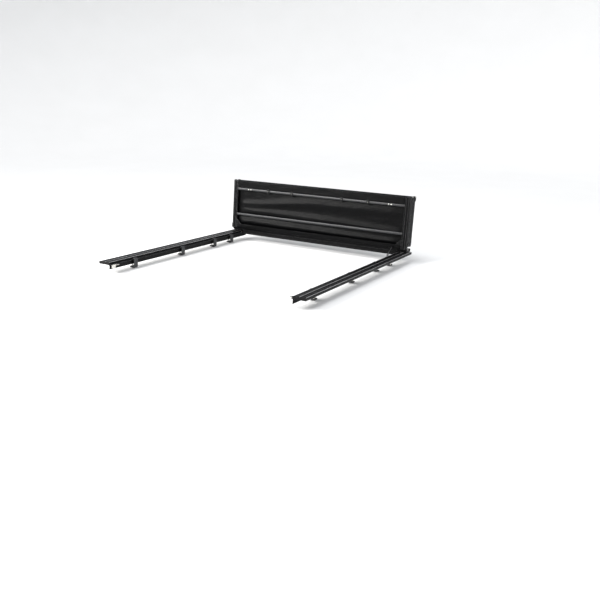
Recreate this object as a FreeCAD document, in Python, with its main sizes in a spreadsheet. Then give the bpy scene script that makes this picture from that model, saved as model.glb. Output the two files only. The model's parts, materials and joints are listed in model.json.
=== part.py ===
"""Soft quad-fold tonneau cover, folded upright at the cab end of its bed frame.

The frame (side rails, header, clamps) stays on the truck bed. Four framed vinyl panels fold on one
another in an accordion: the vinyl faces of panels 1 and 2 and of panels 3 and 4 meet, and a link as
wide as two panels joins panels 2 and 3. The whole stack turns on the header's hinge.

Frame: X across the bed to the right, +Y to the cab, +Z up. The origin is the centre of the header's
seat, on the plane of the bed rails. Every panel is drawn lying flat behind its own front hinge axis
(x across, -y rearward, z up) and then placed, so one drawing serves each side and each panel.
"""
import FreeCAD, Part
import math
import os
import Sketcher
from FreeCAD import Placement, Rotation, Vector

DIMENSIONS = {
    # the panels
    "half_width": 880,
    "panel_pitch": 410,
    "frame_high": 24,
    "frame_wide": 48,
    "frame_wall": 3,
    "skin_thick": 2,
    "fold_gap": 1.5,
    "belly_gap": 2,
    "end_gap": 5,
    "edge_chamfer": 1.5,
    "groove_wide": 2,
    "groove_deep": 1.5,
    "groove_inset": 12,
    "bow_wide": 22,
    "mid_bow_wide": 20,
    "mid_bow_high": 12,
    "bow_wall": 2.5,
    "gusset_leg": 50,
    "top_gusset_leg": 38,
    "gusset_tip": 6,
    "gusset_thick": 5,
    "gusset_recess": 0.5,
    "clip_wide": 14,
    "clip_thick": 3,
    "clip_overhang": 3,
    "clip_chamfer": 1,
    "bolt_head_radius": 5.5,
    "bolt_head_high": 3,
    # the hinges
    "ear_radius": 6,
    "ear_thick": 3,
    "ear_spacing": 3.5,
    "ear_leaf_long": 32,
    "ear_leaf_low": 22,
    "ear_leaf_top": 8,
    "ear_step": 4,
    "pin_radius": 3,
    "pin_running": 0.05,
    "pin_head_radius": 5,
    "pin_head_long": 2,
    "pin_head_play": 0.7,
    "link_thick": 3,
    "link_edge": 1,
    "link_tab_inset": 20,
    "link_end_gap": 2,
    "link_pin_play": 0.2,
    # the bed frame
    "rail_inner": 795,
    "rail_wide": 100,
    "rail_high": 20,
    "rail_wall": 4,
    "rail_web_drop": 34,
    "rail_lip": 12,
    "rail_chamfer": 3,
    "rail_inner_chamfer": 2,
    "rail_groove_wide": 4,
    "rail_groove_deep": 4,
    "rail_groove_inset": 6,
    "rail_groove_spacing": 10,
    "rail_cavity_wall": 3,
    "rail_solid_edge": 24,
    "seal_inset": 52,
    "seal_wide": 10,
    "seal_sunk": 5,
    "seal_top": 2.2,
    "seal_crown_step": 0.8,
    "tail_overhang": 12,
    "end_cap_thick": 3,
    "end_cap_edge": 2,
    "end_cap_rim": 1,
    "panel_seat": 22.5,
    "header_rear": 20,
    "header_front": 50,
    "header_wall": 5,
    "header_chamfer": 3,
    "header_end_play": 1,
    "skirt_drop": 8,
    "skirt_up": 16,
    "skirt_thick": 6,
    "skirt_lip": 4,
    "skirt_end_play": 3,
    "bracket_long": 44,
    "bracket_thick": 3,
    "screw_head_radius": 4,
    "screw_head_high": 2.5,
    "screw_from_middle": 12,
    "clamp_wide": 40,
    "clamp_thick": 8,
    "clamp_upper": 12,
    "clamp_reach": 28,
    "clamp_drop": 62,
    "clamp_arm": 10,
    "clamp_chamfer": 3,
    "clamp_lip_play": 1,
    "clamp_hook": 10,
    "clamp_bolt_radius": 5,
    "clamp_bolt_out": 18,
    "clamp_bolt_long": 12,
    "clamp_head_radius": 9,
    "clamp_head_high": 7,
    "striker_long": 40,
    "striker_reach": 40,
    "striker_sole": 20,
    "striker_drop": 30,
    "striker_thick": 3,
    # the tail latches
    "latch_inset": 140,
    "latch_from_tail": 24,
    "latch_base_radius": 13,
    "latch_base_high": 6,
    "latch_post_radius": 5,
    "latch_post_long": 31,
    "latch_lever_thick": 4.5,
    "latch_lever_wide": 14,
    "latch_hub_radius": 9,
    "latch_tongue_long": 33,
    "latch_handle_long": 50,
    "latch_tip_chamfer": 5,
    "latch_tip_taper": 6,
    "latch_end_chamfer": 4,
    "latch_hub_raised": 6,
    "latch_knob_radius": 8,
    "latch_knob_inset": 10,
    "latch_knob_drop": 8,
    "latch_under_drop": 24,
    "tail_seal_thick": 8,
    "tail_seal_high": 18,
    "tail_seal_lowered": 1,
    "tail_seal_chamfer": 3,
    "tail_seal_end_gap": 14,
    # the prop rod
    "rod_radius": 3,
    "rod_from_centre": 758,
    "rod_pivot_back": 150,
    "rod_pivot_up": 10,
    "rod_contact_up": 16,
    "rod_clearance": 0.3,
    "rod_tip_radius": 4,
    "rod_eye_wide": 8,
    "rod_foot_radius": 7,
    "rod_side_play": 0.3,
    "rod_bracket_long": 18,
    "rod_bracket_thick": 3,
    "rod_cheek_high": 13,
    "rod_web_high": 8,
    "rod_pin_past": 1,
    "rod_pin_long": 11,
    "rod_pin_head_long": 1.5,
}
CLAMPS_FROM_HINGE = (180, 440, 890, 1470)
CLIPS_FROM_CENTRE = (-500, -250, 250, 500)
BOLTS_FROM_CENTRE = (-715, -690, 690, 715)
UPPER_BOW_AT = 362
LOWER_BOW_AT = 128
MID_BOWS_AT = (140, 270)
STACK_LEAN = 4
CUT_PAST = 1
SIDES = {"left": -1, "right": 1}

document = FreeCAD.newDocument("tonneau_cover")
sheet = document.addObject("Spreadsheet::Sheet", "Dimensions")
finished = []


class Size:
    """A length known both as a number and as the spreadsheet expression that it comes from."""

    def __init__(self, number, text=None):
        self.number = number
        self.text = text if text is not None else repr(number)

    def joined(self, other, sign, number):
        other = as_size(other)
        return Size(number(self.number, other.number), f"({self.text} {sign} {other.text})")

    def __add__(self, other):
        return self.joined(other, "+", lambda a, b: a + b)

    def __sub__(self, other):
        return self.joined(other, "-", lambda a, b: a - b)

    def __mul__(self, other):
        return self.joined(other, "*", lambda a, b: a * b)

    def __truediv__(self, other):
        return self.joined(other, "/", lambda a, b: a / b)

    def __neg__(self):
        return Size(0) - self

    __radd__ = __add__
    __rmul__ = __mul__


def as_size(value):
    return value if isinstance(value, Size) else Size(value)


def size(alias):
    return Size(DIMENSIONS[alias], f"Dimensions.{alias}")


def fill_sheet():
    for row, (alias, value) in enumerate(DIMENSIONS.items(), start=1):
        sheet.set(f"A{row}", alias)
        sheet.set(f"B{row}", str(value))
        sheet.setAlias(f"B{row}", alias)
    document.recompute()


def bind(item, name, value):
    """Set a property to a length and tie it to the spreadsheet."""
    item.setExpression(name, as_size(value).text)


# ---- drawing helpers -----------------------------------------------------------------------------


def new_body(name):
    body = document.addObject("PartDesign::Body", name)
    body.Label = name
    return body


def add_sketch(body, name, plane, start):
    """A sketch on one of the body's origin planes, moved along the plane's normal by start."""
    sketch = body.newObject("Sketcher::SketchObject", name)
    support = [item for item in body.Origin.OriginFeatures if item.Role == plane][0]
    sketch.AttachmentSupport = [(support, "")]
    sketch.MapMode = "FlatFace"
    bind(sketch, "AttachmentOffset.Base.z", start)
    return sketch


def add_outline(sketch, corners):
    """Draw a closed outline of straight edges whose corners are bound to the spreadsheet."""
    corners = [(as_size(u), as_size(v)) for u, v in corners]
    first = sketch.GeometryCount
    count = len(corners)
    points = [Vector(u.number, v.number, 0) for u, v in corners]
    for i in range(count):
        sketch.addGeometry(Part.LineSegment(points[i], points[(i + 1) % count]))
    for i in range(count):
        following = first + (i + 1) % count
        sketch.addConstraint(Sketcher.Constraint("Coincident", first + i, 2, following, 1))
    for i, (u, v) in enumerate(corners):
        for kind, value in (("DistanceX", u), ("DistanceY", v)):
            made = sketch.addConstraint(
                Sketcher.Constraint(kind, -1, 1, first + i, 1, value.number)
            )
            sketch.setExpression(f"Constraints[{made}]", value.text)


def pad(body, name, plane, outlines, start, length):
    """Pad outlines drawn at start by length along the plane's normal (+X, -Y or +Z)."""
    sketch = add_sketch(body, f"{name}_sketch", plane, start)
    for outline in outlines:
        add_outline(sketch, outline)
    feature = body.newObject("PartDesign::Pad", f"{name}_pad")
    feature.Profile = sketch
    bind(feature, "Length", length)
    body.Tip = feature
    return feature


def rectangle(low, high):
    (u0, v0), (u1, v1) = low, high
    return [(u0, v0), (u1, v0), (u1, v1), (u0, v1)]


def chamfered(low, high, cut):
    """A rectangle with its four corners cut off."""
    (u0, v0), (u1, v1) = low, high
    return [
        (u0 + cut, v0),
        (u1 - cut, v0),
        (u1, v0 + cut),
        (u1, v1 - cut),
        (u1 - cut, v1),
        (u0 + cut, v1),
        (u0, v1 - cut),
        (u0, v0 + cut),
    ]


def mirrored(outline, side):
    """The outline on its own side: as drawn for side 1, with u turned over for side -1."""
    return [(as_size(u) * side, v) for u, v in outline]


def block(name, low, extent):
    """A Part box from its low corner and its edge lengths."""
    item = document.addObject("Part::Box", name)
    for edge, value in zip(("Length", "Width", "Height"), extent):
        bind(item, edge, value)
    for axis, value in zip("xyz", low):
        bind(item, f"Placement.Base.{axis}", value)
    return item


def rod(name, foot, radius, length, direction):
    """A Part cylinder from its foot along a direction."""
    item = document.addObject("Part::Cylinder", name)
    item.Placement = Placement(Vector(), Rotation(Vector(0, 0, 1), Vector(*direction)))
    bind(item, "Radius", radius)
    bind(item, "Height", length)
    for axis, value in zip("xyz", foot):
        bind(item, f"Placement.Base.{axis}", value)
    return item


def fused(name, pieces):
    item = document.addObject("Part::MultiFuse", name)
    item.Shapes = pieces
    item.Refine = True
    return item


def cut(name, base, tool):
    item = document.addObject("Part::Cut", name)
    item.Base = base
    item.Tool = tool
    return item


def copies(label, pieces, places):
    """One sub-part that is a group of the same pieces repeated at several places."""
    document.recompute()
    links = []
    for i, place in enumerate(places):
        for piece in pieces:
            link = document.addObject("App::Link", f"{piece.Name}_at_{i}")
            link.LinkedObject = piece
            link.Placement = place.multiply(piece.Placement)
            links.append(link)
    return grouped(label, links)


def grouped(label, pieces):
    group = document.addObject("Part::Compound", label)
    group.Links = pieces
    group.Label = label
    return group


def finish(item, place=None):
    """Count an object as a finished sub-part, at its place in the assembly."""
    if place is not None:
        item.Placement = place.multiply(item.Placement)
    finished.append(item)


def at(x=0.0, y=0.0, z=0.0, turn=0.0, axis=(1, 0, 0)):
    return Placement(Vector(x, y, z), Rotation(Vector(*axis), turn))


# ---- sizes that follow from the driving dimensions -----------------------------------------------

W = {}


def work_out_sizes():
    """Lengths and heights that several sub-parts share."""
    thick = size("frame_high") + size("skin_thick")
    W["thick"] = thick
    W["first_pitch"] = size("panel_pitch") + thick + size("belly_gap")
    W["link_wide"] = (thick + size("belly_gap")) * 2
    W["hinge_up"] = size("panel_seat") + thick + size("fold_gap")
    W["hinge_back"] = size("header_rear") + size("end_gap")
    W["cover_long"] = W["first_pitch"] + size("panel_pitch") * 3 + W["link_wide"]
    W["rail_back"] = W["hinge_back"] + W["cover_long"] + size("tail_overhang")
    W["rail_outer"] = size("rail_inner") + size("rail_wide")


def panel_places():
    """Where each folding body stands at rest, from the header back through the hinges."""
    gap = size("fold_gap").number
    pitch = size("panel_pitch").number
    hinge = at(y=-W["hinge_back"].number, z=W["hinge_up"].number, turn=-90 - STACK_LEAN)
    first = hinge
    second = first.multiply(at(y=-W["first_pitch"].number, turn=-180))
    link = second.multiply(at(y=-pitch, z=-gap, turn=90))
    third = link.multiply(at(y=-W["link_wide"].number, turn=90))
    fourth = third.multiply(at(y=-pitch, z=gap, turn=-180))
    return {1: first, 2: second, "link": link, 3: third, 4: fourth}


def panel_top(number):
    """Height of a panel's vinyl face over its own front hinge axis."""
    return Size(0) if number == 3 else -size("fold_gap")


def panel_pitch(number):
    return W["first_pitch"] if number == 1 else size("panel_pitch")


# ---- the bed frame -------------------------------------------------------------------------------


def side_rail(side_name, side):
    """Extruded rail: a hollow flange with a seal slot and two grooves, a web and an inner lip."""
    inner, outer, high = size("rail_inner"), W["rail_outer"], size("rail_high")
    wall, lip, web = size("rail_wall"), size("rail_lip"), size("rail_web_drop")
    edge, inner_edge = size("rail_chamfer"), size("rail_inner_chamfer")
    wide, deep = size("rail_groove_wide"), size("rail_groove_deep")
    slot_low = inner + size("seal_inset")
    slot_high = slot_low + size("seal_wide")
    slot_floor = high - size("seal_sunk")
    outline = [
        (inner, -web),
        (inner + wall, -web),
        (inner + wall, 0),
        (outer, 0),
        (outer, high - edge),
        (outer - edge, high),
    ]
    first_groove = outer - size("rail_groove_inset")
    for groove in (first_groove, first_groove - size("rail_groove_spacing")):
        outline += [
            (groove, high),
            (groove, high - deep),
            (groove - wide, high - deep),
            (groove - wide, high),
        ]
    outline += [
        (slot_high, high),
        (slot_high, slot_floor),
        (slot_low, slot_floor),
        (slot_low, high),
        (inner + inner_edge, high),
        (inner, high - inner_edge),
        (inner, wall),
        (inner - lip, wall),
        (inner - lip, 0),
        (inner, 0),
    ]
    skin_wall = size("rail_cavity_wall")
    cavity = rectangle(
        (inner + wall, skin_wall), (outer - size("rail_solid_edge"), slot_floor - skin_wall)
    )
    body = new_body(f"{side_name}_side_rail")
    outlines = [mirrored(outline, side), mirrored(cavity, side)]
    length = W["rail_back"] + size("header_front")
    pad(body, "flange", "XZ_Plane", outlines, -size("header_front"), length)
    finish(body)


def rail_seal(side_name, side):
    """Rubber bead in the rail's slot, with a crowned top that meets the panel frames."""
    low = size("rail_inner") + size("seal_inset")
    high = low + size("seal_wide")
    step = size("seal_crown_step")
    foot = size("rail_high") - size("seal_sunk")
    top = size("rail_high") + size("seal_top")
    bead = [
        (low, foot),
        (high, foot),
        (high, top - step * 3),
        (high - step * 2, top - step),
        (high - step * 4, top),
        (low + step * 4, top),
        (low + step * 2, top - step),
        (low, top - step * 3),
    ]
    body = new_body(f"{side_name}_rail_seal")
    length = W["rail_back"] - size("header_rear")
    pad(body, "bead", "XZ_Plane", [mirrored(bead, side)], size("header_rear"), length)
    finish(body)


def rail_end_caps():
    """Moulded caps that close the hollow rails at the tail."""
    caps = []
    for name, side in SIDES.items():
        body = new_body(f"{name}_end_cap")
        edge = size("end_cap_edge")
        face = chamfered(
            (size("rail_inner") - edge, 0),
            (W["rail_outer"] + edge, size("rail_high") + size("end_cap_rim")),
            size("edge_chamfer"),
        )
        pad(body, "cap", "XZ_Plane", [mirrored(face, side)], W["rail_back"], size("end_cap_thick"))
        caps.append(body)
    finish(grouped("rail_end_caps", caps))


def header_bar():
    """The fixed front member: a hollow bar across the rails over a beam that fits between them."""
    rear, front = -size("header_rear"), size("header_front")
    seat, top = size("panel_seat"), size("panel_seat") + W["thick"]
    body = new_body("header_bar")
    half = size("half_width")
    wall = size("header_wall")
    upper = chamfered((rear, seat), (front, top), size("header_chamfer"))
    hollow = rectangle((rear + wall, seat + wall), (front - wall, top - wall))
    pad(body, "bar", "YZ_Plane", [upper, hollow], -half, half * 2)
    inner = size("rail_inner") - size("rail_lip") - size("header_end_play")
    beam = rectangle((rear, 0), (front, seat + wall / 2))
    pad(body, "beam", "YZ_Plane", [beam], -inner, inner * 2)
    finish(body)


def header_seal():
    """Rubber skirt behind the header's rear face that closes the bulkhead gap."""
    front = -size("header_rear")
    rear, low, lip = front - size("skirt_thick"), -size("skirt_drop"), size("skirt_lip")
    inner = size("rail_inner") - size("rail_lip") - size("skirt_end_play")
    skirt = [
        (front, low + lip),
        (front, size("skirt_up")),
        (rear + lip, size("skirt_up")),
        (rear, size("skirt_up") - lip),
        (rear, low),
        (rear + lip, low),
    ]
    body = new_body("header_seal")
    pad(body, "skirt", "YZ_Plane", [skirt], -inner, inner * 2)
    finish(body)


def corner_brackets():
    """Angle plates that join the header's beam to the rails' inner lips."""
    brackets = []
    long, thick = size("bracket_long"), size("bracket_thick")
    inner = size("rail_inner")
    for name, side in SIDES.items():
        body = new_body(f"{name}_corner_bracket")
        face = [
            (inner, size("rail_wall")),
            (inner, size("rail_wall") + thick),
            (inner - size("rail_lip"), size("rail_wall") + thick),
            (inner - size("rail_lip"), size("rail_wall")),
        ]
        pad(body, "plate", "XZ_Plane", [mirrored(face, side)], size("header_rear") - long / 2, long)
        brackets.append(body)
    finish(grouped("corner_brackets", brackets))


def screw_heads(label, centres, radius, high, foot, direction=(0, 0, 1)):
    """Button heads at the given centres, standing on the plane at foot."""
    heads = []
    for i, (x, y) in enumerate(centres):
        heads.append(rod(f"{label}_{i}", (x, y, foot), radius, high, direction))
    return grouped(label, heads)


def rail_screws():
    """Screws of the corner brackets and the strikers."""
    inner = size("rail_inner") - size("rail_lip") / 2
    top = size("rail_wall") + size("bracket_thick")
    middle, apart = size("header_rear"), size("screw_from_middle")
    centres = [
        (inner * side, -row) for side in SIDES.values() for row in (middle - apart, middle + apart)
    ]
    radius, high = size("screw_head_radius"), size("screw_head_high")
    finish(screw_heads("rail_screws", centres, radius, high, top))


def rail_clamps(side_name, side):
    """C-clamps: each hooks over the rail's inner lip and reaches under the bed flange."""
    lip_edge = size("rail_inner") - size("rail_lip")
    spine = lip_edge - size("clamp_thick")
    floor, arm = -size("clamp_drop"), size("clamp_arm")
    lip_top = size("rail_wall")
    reach = size("rail_inner") + size("clamp_reach")
    top, edge, hook = size("clamp_upper"), size("clamp_chamfer"), lip_edge + size("clamp_hook")
    throat = lip_edge - size("clamp_lip_play")
    outline = [
        (spine, floor + edge),
        (spine + edge, floor),
        (reach, floor),
        (reach, floor + arm),
        (throat, floor + arm),
        (throat, lip_top),
        (hook, lip_top),
        (hook, top),
        (spine + edge, top),
        (spine, top - edge),
    ]
    body = new_body(f"{side_name}_clamp")
    wide = size("clamp_wide")
    pad(body, "jaw", "XZ_Plane", [mirrored(outline, side)], -wide / 2, wide)
    back = W["hinge_back"].number
    places = [at(y=-back - along) for along in CLAMPS_FROM_HINGE]
    finish(copies(f"{side_name}_rail_clamps", [body], places))


def clamp_bolts():
    """Bolts that draw the clamps up, each with a round head below the lower arm."""
    bolts = []
    across = size("rail_inner") + size("clamp_bolt_out")
    arm_top = size("clamp_arm") - size("clamp_drop")
    low = -size("clamp_drop")
    for name, side in SIDES.items():
        shank = rod(
            f"{name}_shank", (across * side, 0, arm_top), size("clamp_bolt_radius"),
            size("clamp_bolt_long"), (0, 0, 1),
        )
        head = rod(
            f"{name}_head", (across * side, 0, low - size("clamp_head_high")),
            size("clamp_head_radius"), size("clamp_head_high"), (0, 0, 1),
        )
        bolts += [shank, head]
    back = W["hinge_back"].number
    places = [at(y=-back - along) for along in CLAMPS_FROM_HINGE]
    finish(copies("clamp_bolts", bolts, places))


def striker(side_name, side):
    """Angle bracket on the rail's web that the tail latch hooks under."""
    inner, thick, drop = size("rail_inner"), size("striker_thick"), size("striker_drop")
    tip, lip_edge = inner - size("striker_reach"), inner - size("rail_lip")
    sole = tip + size("striker_sole")
    outline = [
        (tip, 0),
        (sole, 0),
        (sole, -thick),
        (inner - thick, -thick),
        (inner - thick, -drop),
        (inner, -drop),
        (inner, 0),
        (lip_edge, 0),
        (lip_edge, thick),
        (tip, thick),
    ]
    body = new_body(f"{side_name}_striker_plate")
    middle = W["hinge_back"] + W["cover_long"] - size("end_gap") - size("latch_from_tail")
    long = size("striker_long")
    pad(body, "plate", "XZ_Plane", [mirrored(outline, side)], middle - long / 2, long)
    finish(body)


# ---- hinge plates --------------------------------------------------------------------------------


def ear(name, layer, axis_y, axis_z, top, toward, side, hole):
    """Plate on a frame's outer face with a round ear that reaches the hinge axis.

    layer 0 lies on the frame, layer 1 outside it. toward is -1 for a plate behind the axis and 1 for
    one ahead of it. top is the vinyl face's height.
    """
    start = size("half_width") + size("ear_spacing") * layer
    thick, radius = size("ear_thick"), size("ear_radius")
    low = start if side > 0 else -start - thick
    step = size("ear_step")
    leaf_near = axis_y + step * toward
    leaf_far = axis_y + (size("ear_leaf_long") + step) * toward
    leaf_low, leaf_top = top - size("ear_leaf_low"), top - size("ear_leaf_top")
    first, last = (leaf_far, leaf_near) if toward < 0 else (leaf_near, leaf_far)
    leaf = block(f"{name}_leaf", (low, first, leaf_low), (thick, last - first, leaf_top - leaf_low))
    neck_low = leaf_low + step
    neck = block(
        f"{name}_neck", (low, axis_y - radius, neck_low), (thick, radius * 2, axis_z - neck_low)
    )
    round_end = rod(f"{name}_round", (low, axis_y, axis_z), radius, thick, (1, 0, 0))
    plate = fused(f"{name}_blank", [leaf, neck, round_end])
    bore = rod(
        f"{name}_bore", (low - CUT_PAST, axis_y, axis_z), hole, thick + 2 * CUT_PAST, (1, 0, 0)
    )
    return cut(name, plate, bore)


def ears_both_sides(name, layer, axis_y, axis_z, top, toward, hole):
    return [
        ear(f"{name}_{side_name}", layer, axis_y, axis_z, top, toward, side, hole)
        for side_name, side in SIDES.items()
    ]


def hinge_pins(label, axis_y, axis_z, place):
    """Headed pins fixed in the inner plates, on which the outer plates turn."""
    pins = []
    start = size("half_width")
    shank_long = size("ear_spacing") + size("ear_thick") + size("pin_head_play")
    for side_name, side in SIDES.items():
        direction = (side, 0, 0)
        shank = rod(f"{label}_{side_name}_shank", (start * side, axis_y, axis_z),
                    size("pin_radius"), shank_long, direction)
        head = rod(f"{label}_{side_name}_head", ((start + shank_long) * side, axis_y, axis_z),
                   size("pin_head_radius"), size("pin_head_long"), direction)
        pins.append(fused(f"{label}_{side_name}", [shank, head]))
    finish(grouped(label, pins), place)


def header_hinge():
    """The header's plates and pins; panel 1 turns on them."""
    axis_y, axis_z = -W["hinge_back"], W["hinge_up"]
    top = axis_z - size("fold_gap")
    plates = ears_both_sides("header_ear", 0, axis_y, axis_z, top, 1, size("pin_radius"))
    finish(grouped("header_hinge_plates", plates))
    hinge_pins("header_hinge_pins", axis_y, axis_z, None)


def panel_plates(number, place):
    """The plates at a panel's front and rear hinges."""
    top, pitch = panel_top(number), panel_pitch(number)
    running = size("pin_radius") + size("pin_running")
    front_layer = 0 if number == 3 else 1
    plates = ears_both_sides(f"front_ear_{number}", front_layer, Size(0), Size(0), top, -1, running)
    if number != 4:
        rear_up = top if number == 2 else top + size("fold_gap")
        hole = running if number == 2 else size("pin_radius")
        plates += ears_both_sides(f"rear_ear_{number}", 0, -pitch, rear_up, top, 1, hole)
        if number != 2:
            names = {1: "fold_12_pins", 3: "fold_34_pins"}
            hinge_pins(names[number], -pitch, rear_up, place)
    finish(grouped(f"panel_{number}_hinge_plates", plates), place)


# ---- the panels ----------------------------------------------------------------------------------


def side_frame(number, side_name, side, place):
    """Hollow extrusion along a panel's side, with two fine grooves in its underside."""
    outer, wide = size("half_width"), size("frame_wide")
    top = panel_top(number) - size("skin_thick")
    low = top - size("frame_high")
    cut_off, deep, groove = size("edge_chamfer"), size("groove_deep"), size("groove_wide")
    inset = size("groove_inset")
    inner = outer - wide
    outline = [(inner, low + cut_off), (inner + cut_off, low)]
    for start in (inner + inset, outer - inset - groove):
        outline += [
            (start, low),
            (start + groove / 2, low + deep),
            (start + groove, low),
        ]
    outline += [
        (outer - cut_off, low),
        (outer, low + cut_off),
        (outer, top - cut_off),
        (outer - cut_off, top),
        (inner + cut_off, top),
        (inner, top - cut_off),
    ]
    wall = size("frame_wall")
    hollow = rectangle((inner + wall, low + wall), (outer - wall, top - wall))
    body = new_body(f"panel_{number}_{side_name}_frame")
    length = panel_pitch(number) - size("end_gap") * 2
    outlines = [mirrored(outline, side), mirrored(hollow, side)]
    pad(body, "extrusion", "XZ_Plane", outlines, size("end_gap"), length)
    finish(body, place)


def cross_bar(name, number, start, wide, high):
    """Hollow bar between the side frames, its underside level with theirs."""
    low = panel_top(number) - W["thick"]
    half = size("half_width") - size("frame_wide")
    outer = chamfered((-start - wide, low), (-start, low + high), size("edge_chamfer"))
    wall = size("bow_wall")
    hollow = rectangle((-start - wide + wall, low + wall), (-start - wall, low + high - wall))
    body = new_body(name)
    pad(body, "bar", "YZ_Plane", [outer, hollow], -half, half * 2)
    return body


def end_bows(number, place):
    """The bars that close a panel's frame at its two ends."""
    wide, high = size("bow_wide"), size("frame_high")
    first = size("end_gap")
    last = panel_pitch(number) - size("end_gap") - wide
    if number == 4:
        finish(cross_bar("panel_4_front_bow", number, first, wide, high), place)
        finish(cross_bar("panel_4_tail_bow", number, last, wide, high), place)
        return
    bars = [
        cross_bar(f"panel_{number}_bow_{i}", number, start, wide, high)
        for i, start in enumerate((first, last))
    ]
    finish(grouped(f"panel_{number}_end_bows", bars), place)


def mid_bows(number, place):
    """The slim bars that carry the vinyl between a panel's ends."""
    wide, high = size("mid_bow_wide"), size("mid_bow_high")
    if number == 1:
        for name, along in (("lower", LOWER_BOW_AT), ("upper", UPPER_BOW_AT)):
            bar = cross_bar(f"panel_1_{name}_bow", number, Size(along) - wide / 2, wide, high)
            finish(bar, place)
        return
    bars = [
        cross_bar(f"panel_{number}_mid_bow_{i}", number, Size(along) - wide / 2, wide, high)
        for i, along in enumerate(MID_BOWS_AT)
    ]
    finish(grouped(f"panel_{number}_mid_bows", bars), place)


def gussets(number, place):
    """Three-cornered plates that stiffen a panel frame's corners, inside the end bows.

    Panel 1's rear plates are shorter, to clear its upper bow.
    """
    thick, tip = size("gusset_thick"), size("gusset_tip")
    inner = size("half_width") - size("frame_wide")
    low = panel_top(number) - W["thick"] + size("gusset_recess")
    near = size("end_gap") + size("bow_wide")
    far = panel_pitch(number) - near
    plates = []
    for side_name, side in SIDES.items():
        for end_name, edge, toward in (("front", near, 1), ("rear", far, -1)):
            crowded = number == 1 and end_name == "rear"
            leg = size("top_gusset_leg") if crowded else size("gusset_leg")
            corner = [
                (inner * side, -edge),
                ((inner - leg) * side, -edge),
                ((inner - leg) * side, -edge - tip * toward),
                ((inner - tip) * side, -edge - leg * toward),
                (inner * side, -edge - leg * toward),
            ]
            body = new_body(f"panel_{number}_gusset_{side_name}_{end_name}")
            pad(body, "plate", "XY_Plane", [corner], low, thick)
            plates.append(body)
    finish(grouped(f"panel_{number}_gussets", plates), place)


def skin(number, place):
    """The vinyl over a panel's frame."""
    top = panel_top(number)
    half = size("half_width")
    front, rear = -size("end_gap"), size("end_gap") - panel_pitch(number)
    body = new_body(f"panel_{number}_skin")
    sheet_outline = rectangle((-half, rear), (half, front))
    pad(body, "vinyl", "XY_Plane", [sheet_outline], top - size("skin_thick"), size("skin_thick"))
    finish(body, place)


def bow_clips(place):
    """Clips that hold the vinyl's hem to panel 1's upper bow."""
    clips = []
    low = panel_top(1) - W["thick"]
    wide = size("clip_wide")
    deep = size("mid_bow_wide") + size("clip_overhang") * 2
    for i, across in enumerate(map(Size, CLIPS_FROM_CENTRE)):
        body = new_body(f"bow_clip_{i}")
        face = chamfered(
            (across - wide / 2, low - size("clip_thick")),
            (across + wide / 2, low),
            size("clip_chamfer"),
        )
        pad(body, "clip", "XZ_Plane", [face], Size(UPPER_BOW_AT) - deep / 2, deep)
        clips.append(body)
    finish(grouped("bow_clips", clips), place)


def bow_bolts(place):
    """Button-head bolts near the upper bow's ends."""
    low = panel_top(1) - W["thick"]
    centres = [(Size(across), Size(-UPPER_BOW_AT)) for across in BOLTS_FROM_CENTRE]
    heads = screw_heads(
        "bow_bolts", centres, size("bolt_head_radius"), size("bolt_head_high"),
        low - size("bolt_head_high"),
    )
    finish(heads, place)


def tail_seal(place):
    """Rubber strip on the tail bow that meets the tailgate."""
    top = panel_top(4) - size("skin_thick") - size("tail_seal_lowered")
    start = size("panel_pitch") - size("end_gap")
    high, thick, edge = size("tail_seal_high"), size("tail_seal_thick"), size("tail_seal_chamfer")
    strip = [
        (-start, top),
        (-start - thick + edge, top),
        (-start - thick, top - edge),
        (-start - thick, top - high + edge),
        (-start - thick + edge, top - high),
        (-start, top - high),
    ]
    half = size("half_width") - size("frame_wide") - size("tail_seal_end_gap")
    body = new_body("tail_seal")
    pad(body, "strip", "YZ_Plane", [strip], -half, half * 2)
    finish(body, place)


def fold_link(place):
    """The two-panel-wide strip between panels 2 and 3, with its end plates and pins."""
    wide, thick, edge = W["link_wide"], size("link_thick"), size("link_edge")
    inset = size("link_tab_inset")
    inner = size("half_width") - size("link_end_gap")
    outer = size("half_width") + size("ear_spacing")
    strip = rectangle((-inner, edge - wide), (inner, -edge))
    tab = rectangle((-outer, inset - wide), (outer, -inset))
    body = new_body("fold_link_strip")
    pad(body, "strip", "XY_Plane", [strip], -thick, thick)
    pad(body, "tabs", "XY_Plane", [tab], -thick, thick)
    finish(body, place)
    plates = []
    radius = size("ear_radius")
    for side_name, side in SIDES.items():
        low = outer if side > 0 else -outer - size("ear_thick")
        name = f"link_plate_{side_name}"
        bar = block(
            f"{name}_bar", (low, -wide, -radius), (size("ear_thick"), wide, radius * 2)
        )
        ends = [
            rod(f"{name}_end_{i}", (low, y, 0), radius, size("ear_thick"), (1, 0, 0))
            for i, y in enumerate((Size(0), -wide))
        ]
        plates.append(fused(name, [bar] + ends))
    finish(grouped("fold_link_plates", plates), place)
    pins = []
    play = size("link_pin_play")
    long = size("ear_spacing") - play
    for side_name, side in SIDES.items():
        for i, y in enumerate((Size(0), -wide)):
            foot = ((size("half_width") + play) * side, y, 0)
            name = f"link_pin_{side_name}_{i}"
            pins.append(rod(name, foot, size("pin_radius"), long, (side, 0, 0)))
    finish(grouped("fold_link_pins", pins), place)


# ---- the tail latches and the prop rod -----------------------------------------------------------


def latch_middle():
    """Distance of a latch's post behind panel 4's front hinge, and its distance from the centre."""
    along = size("panel_pitch") - size("end_gap") - size("latch_from_tail")
    across = size("half_width") - size("latch_inset")
    return along, across


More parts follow.
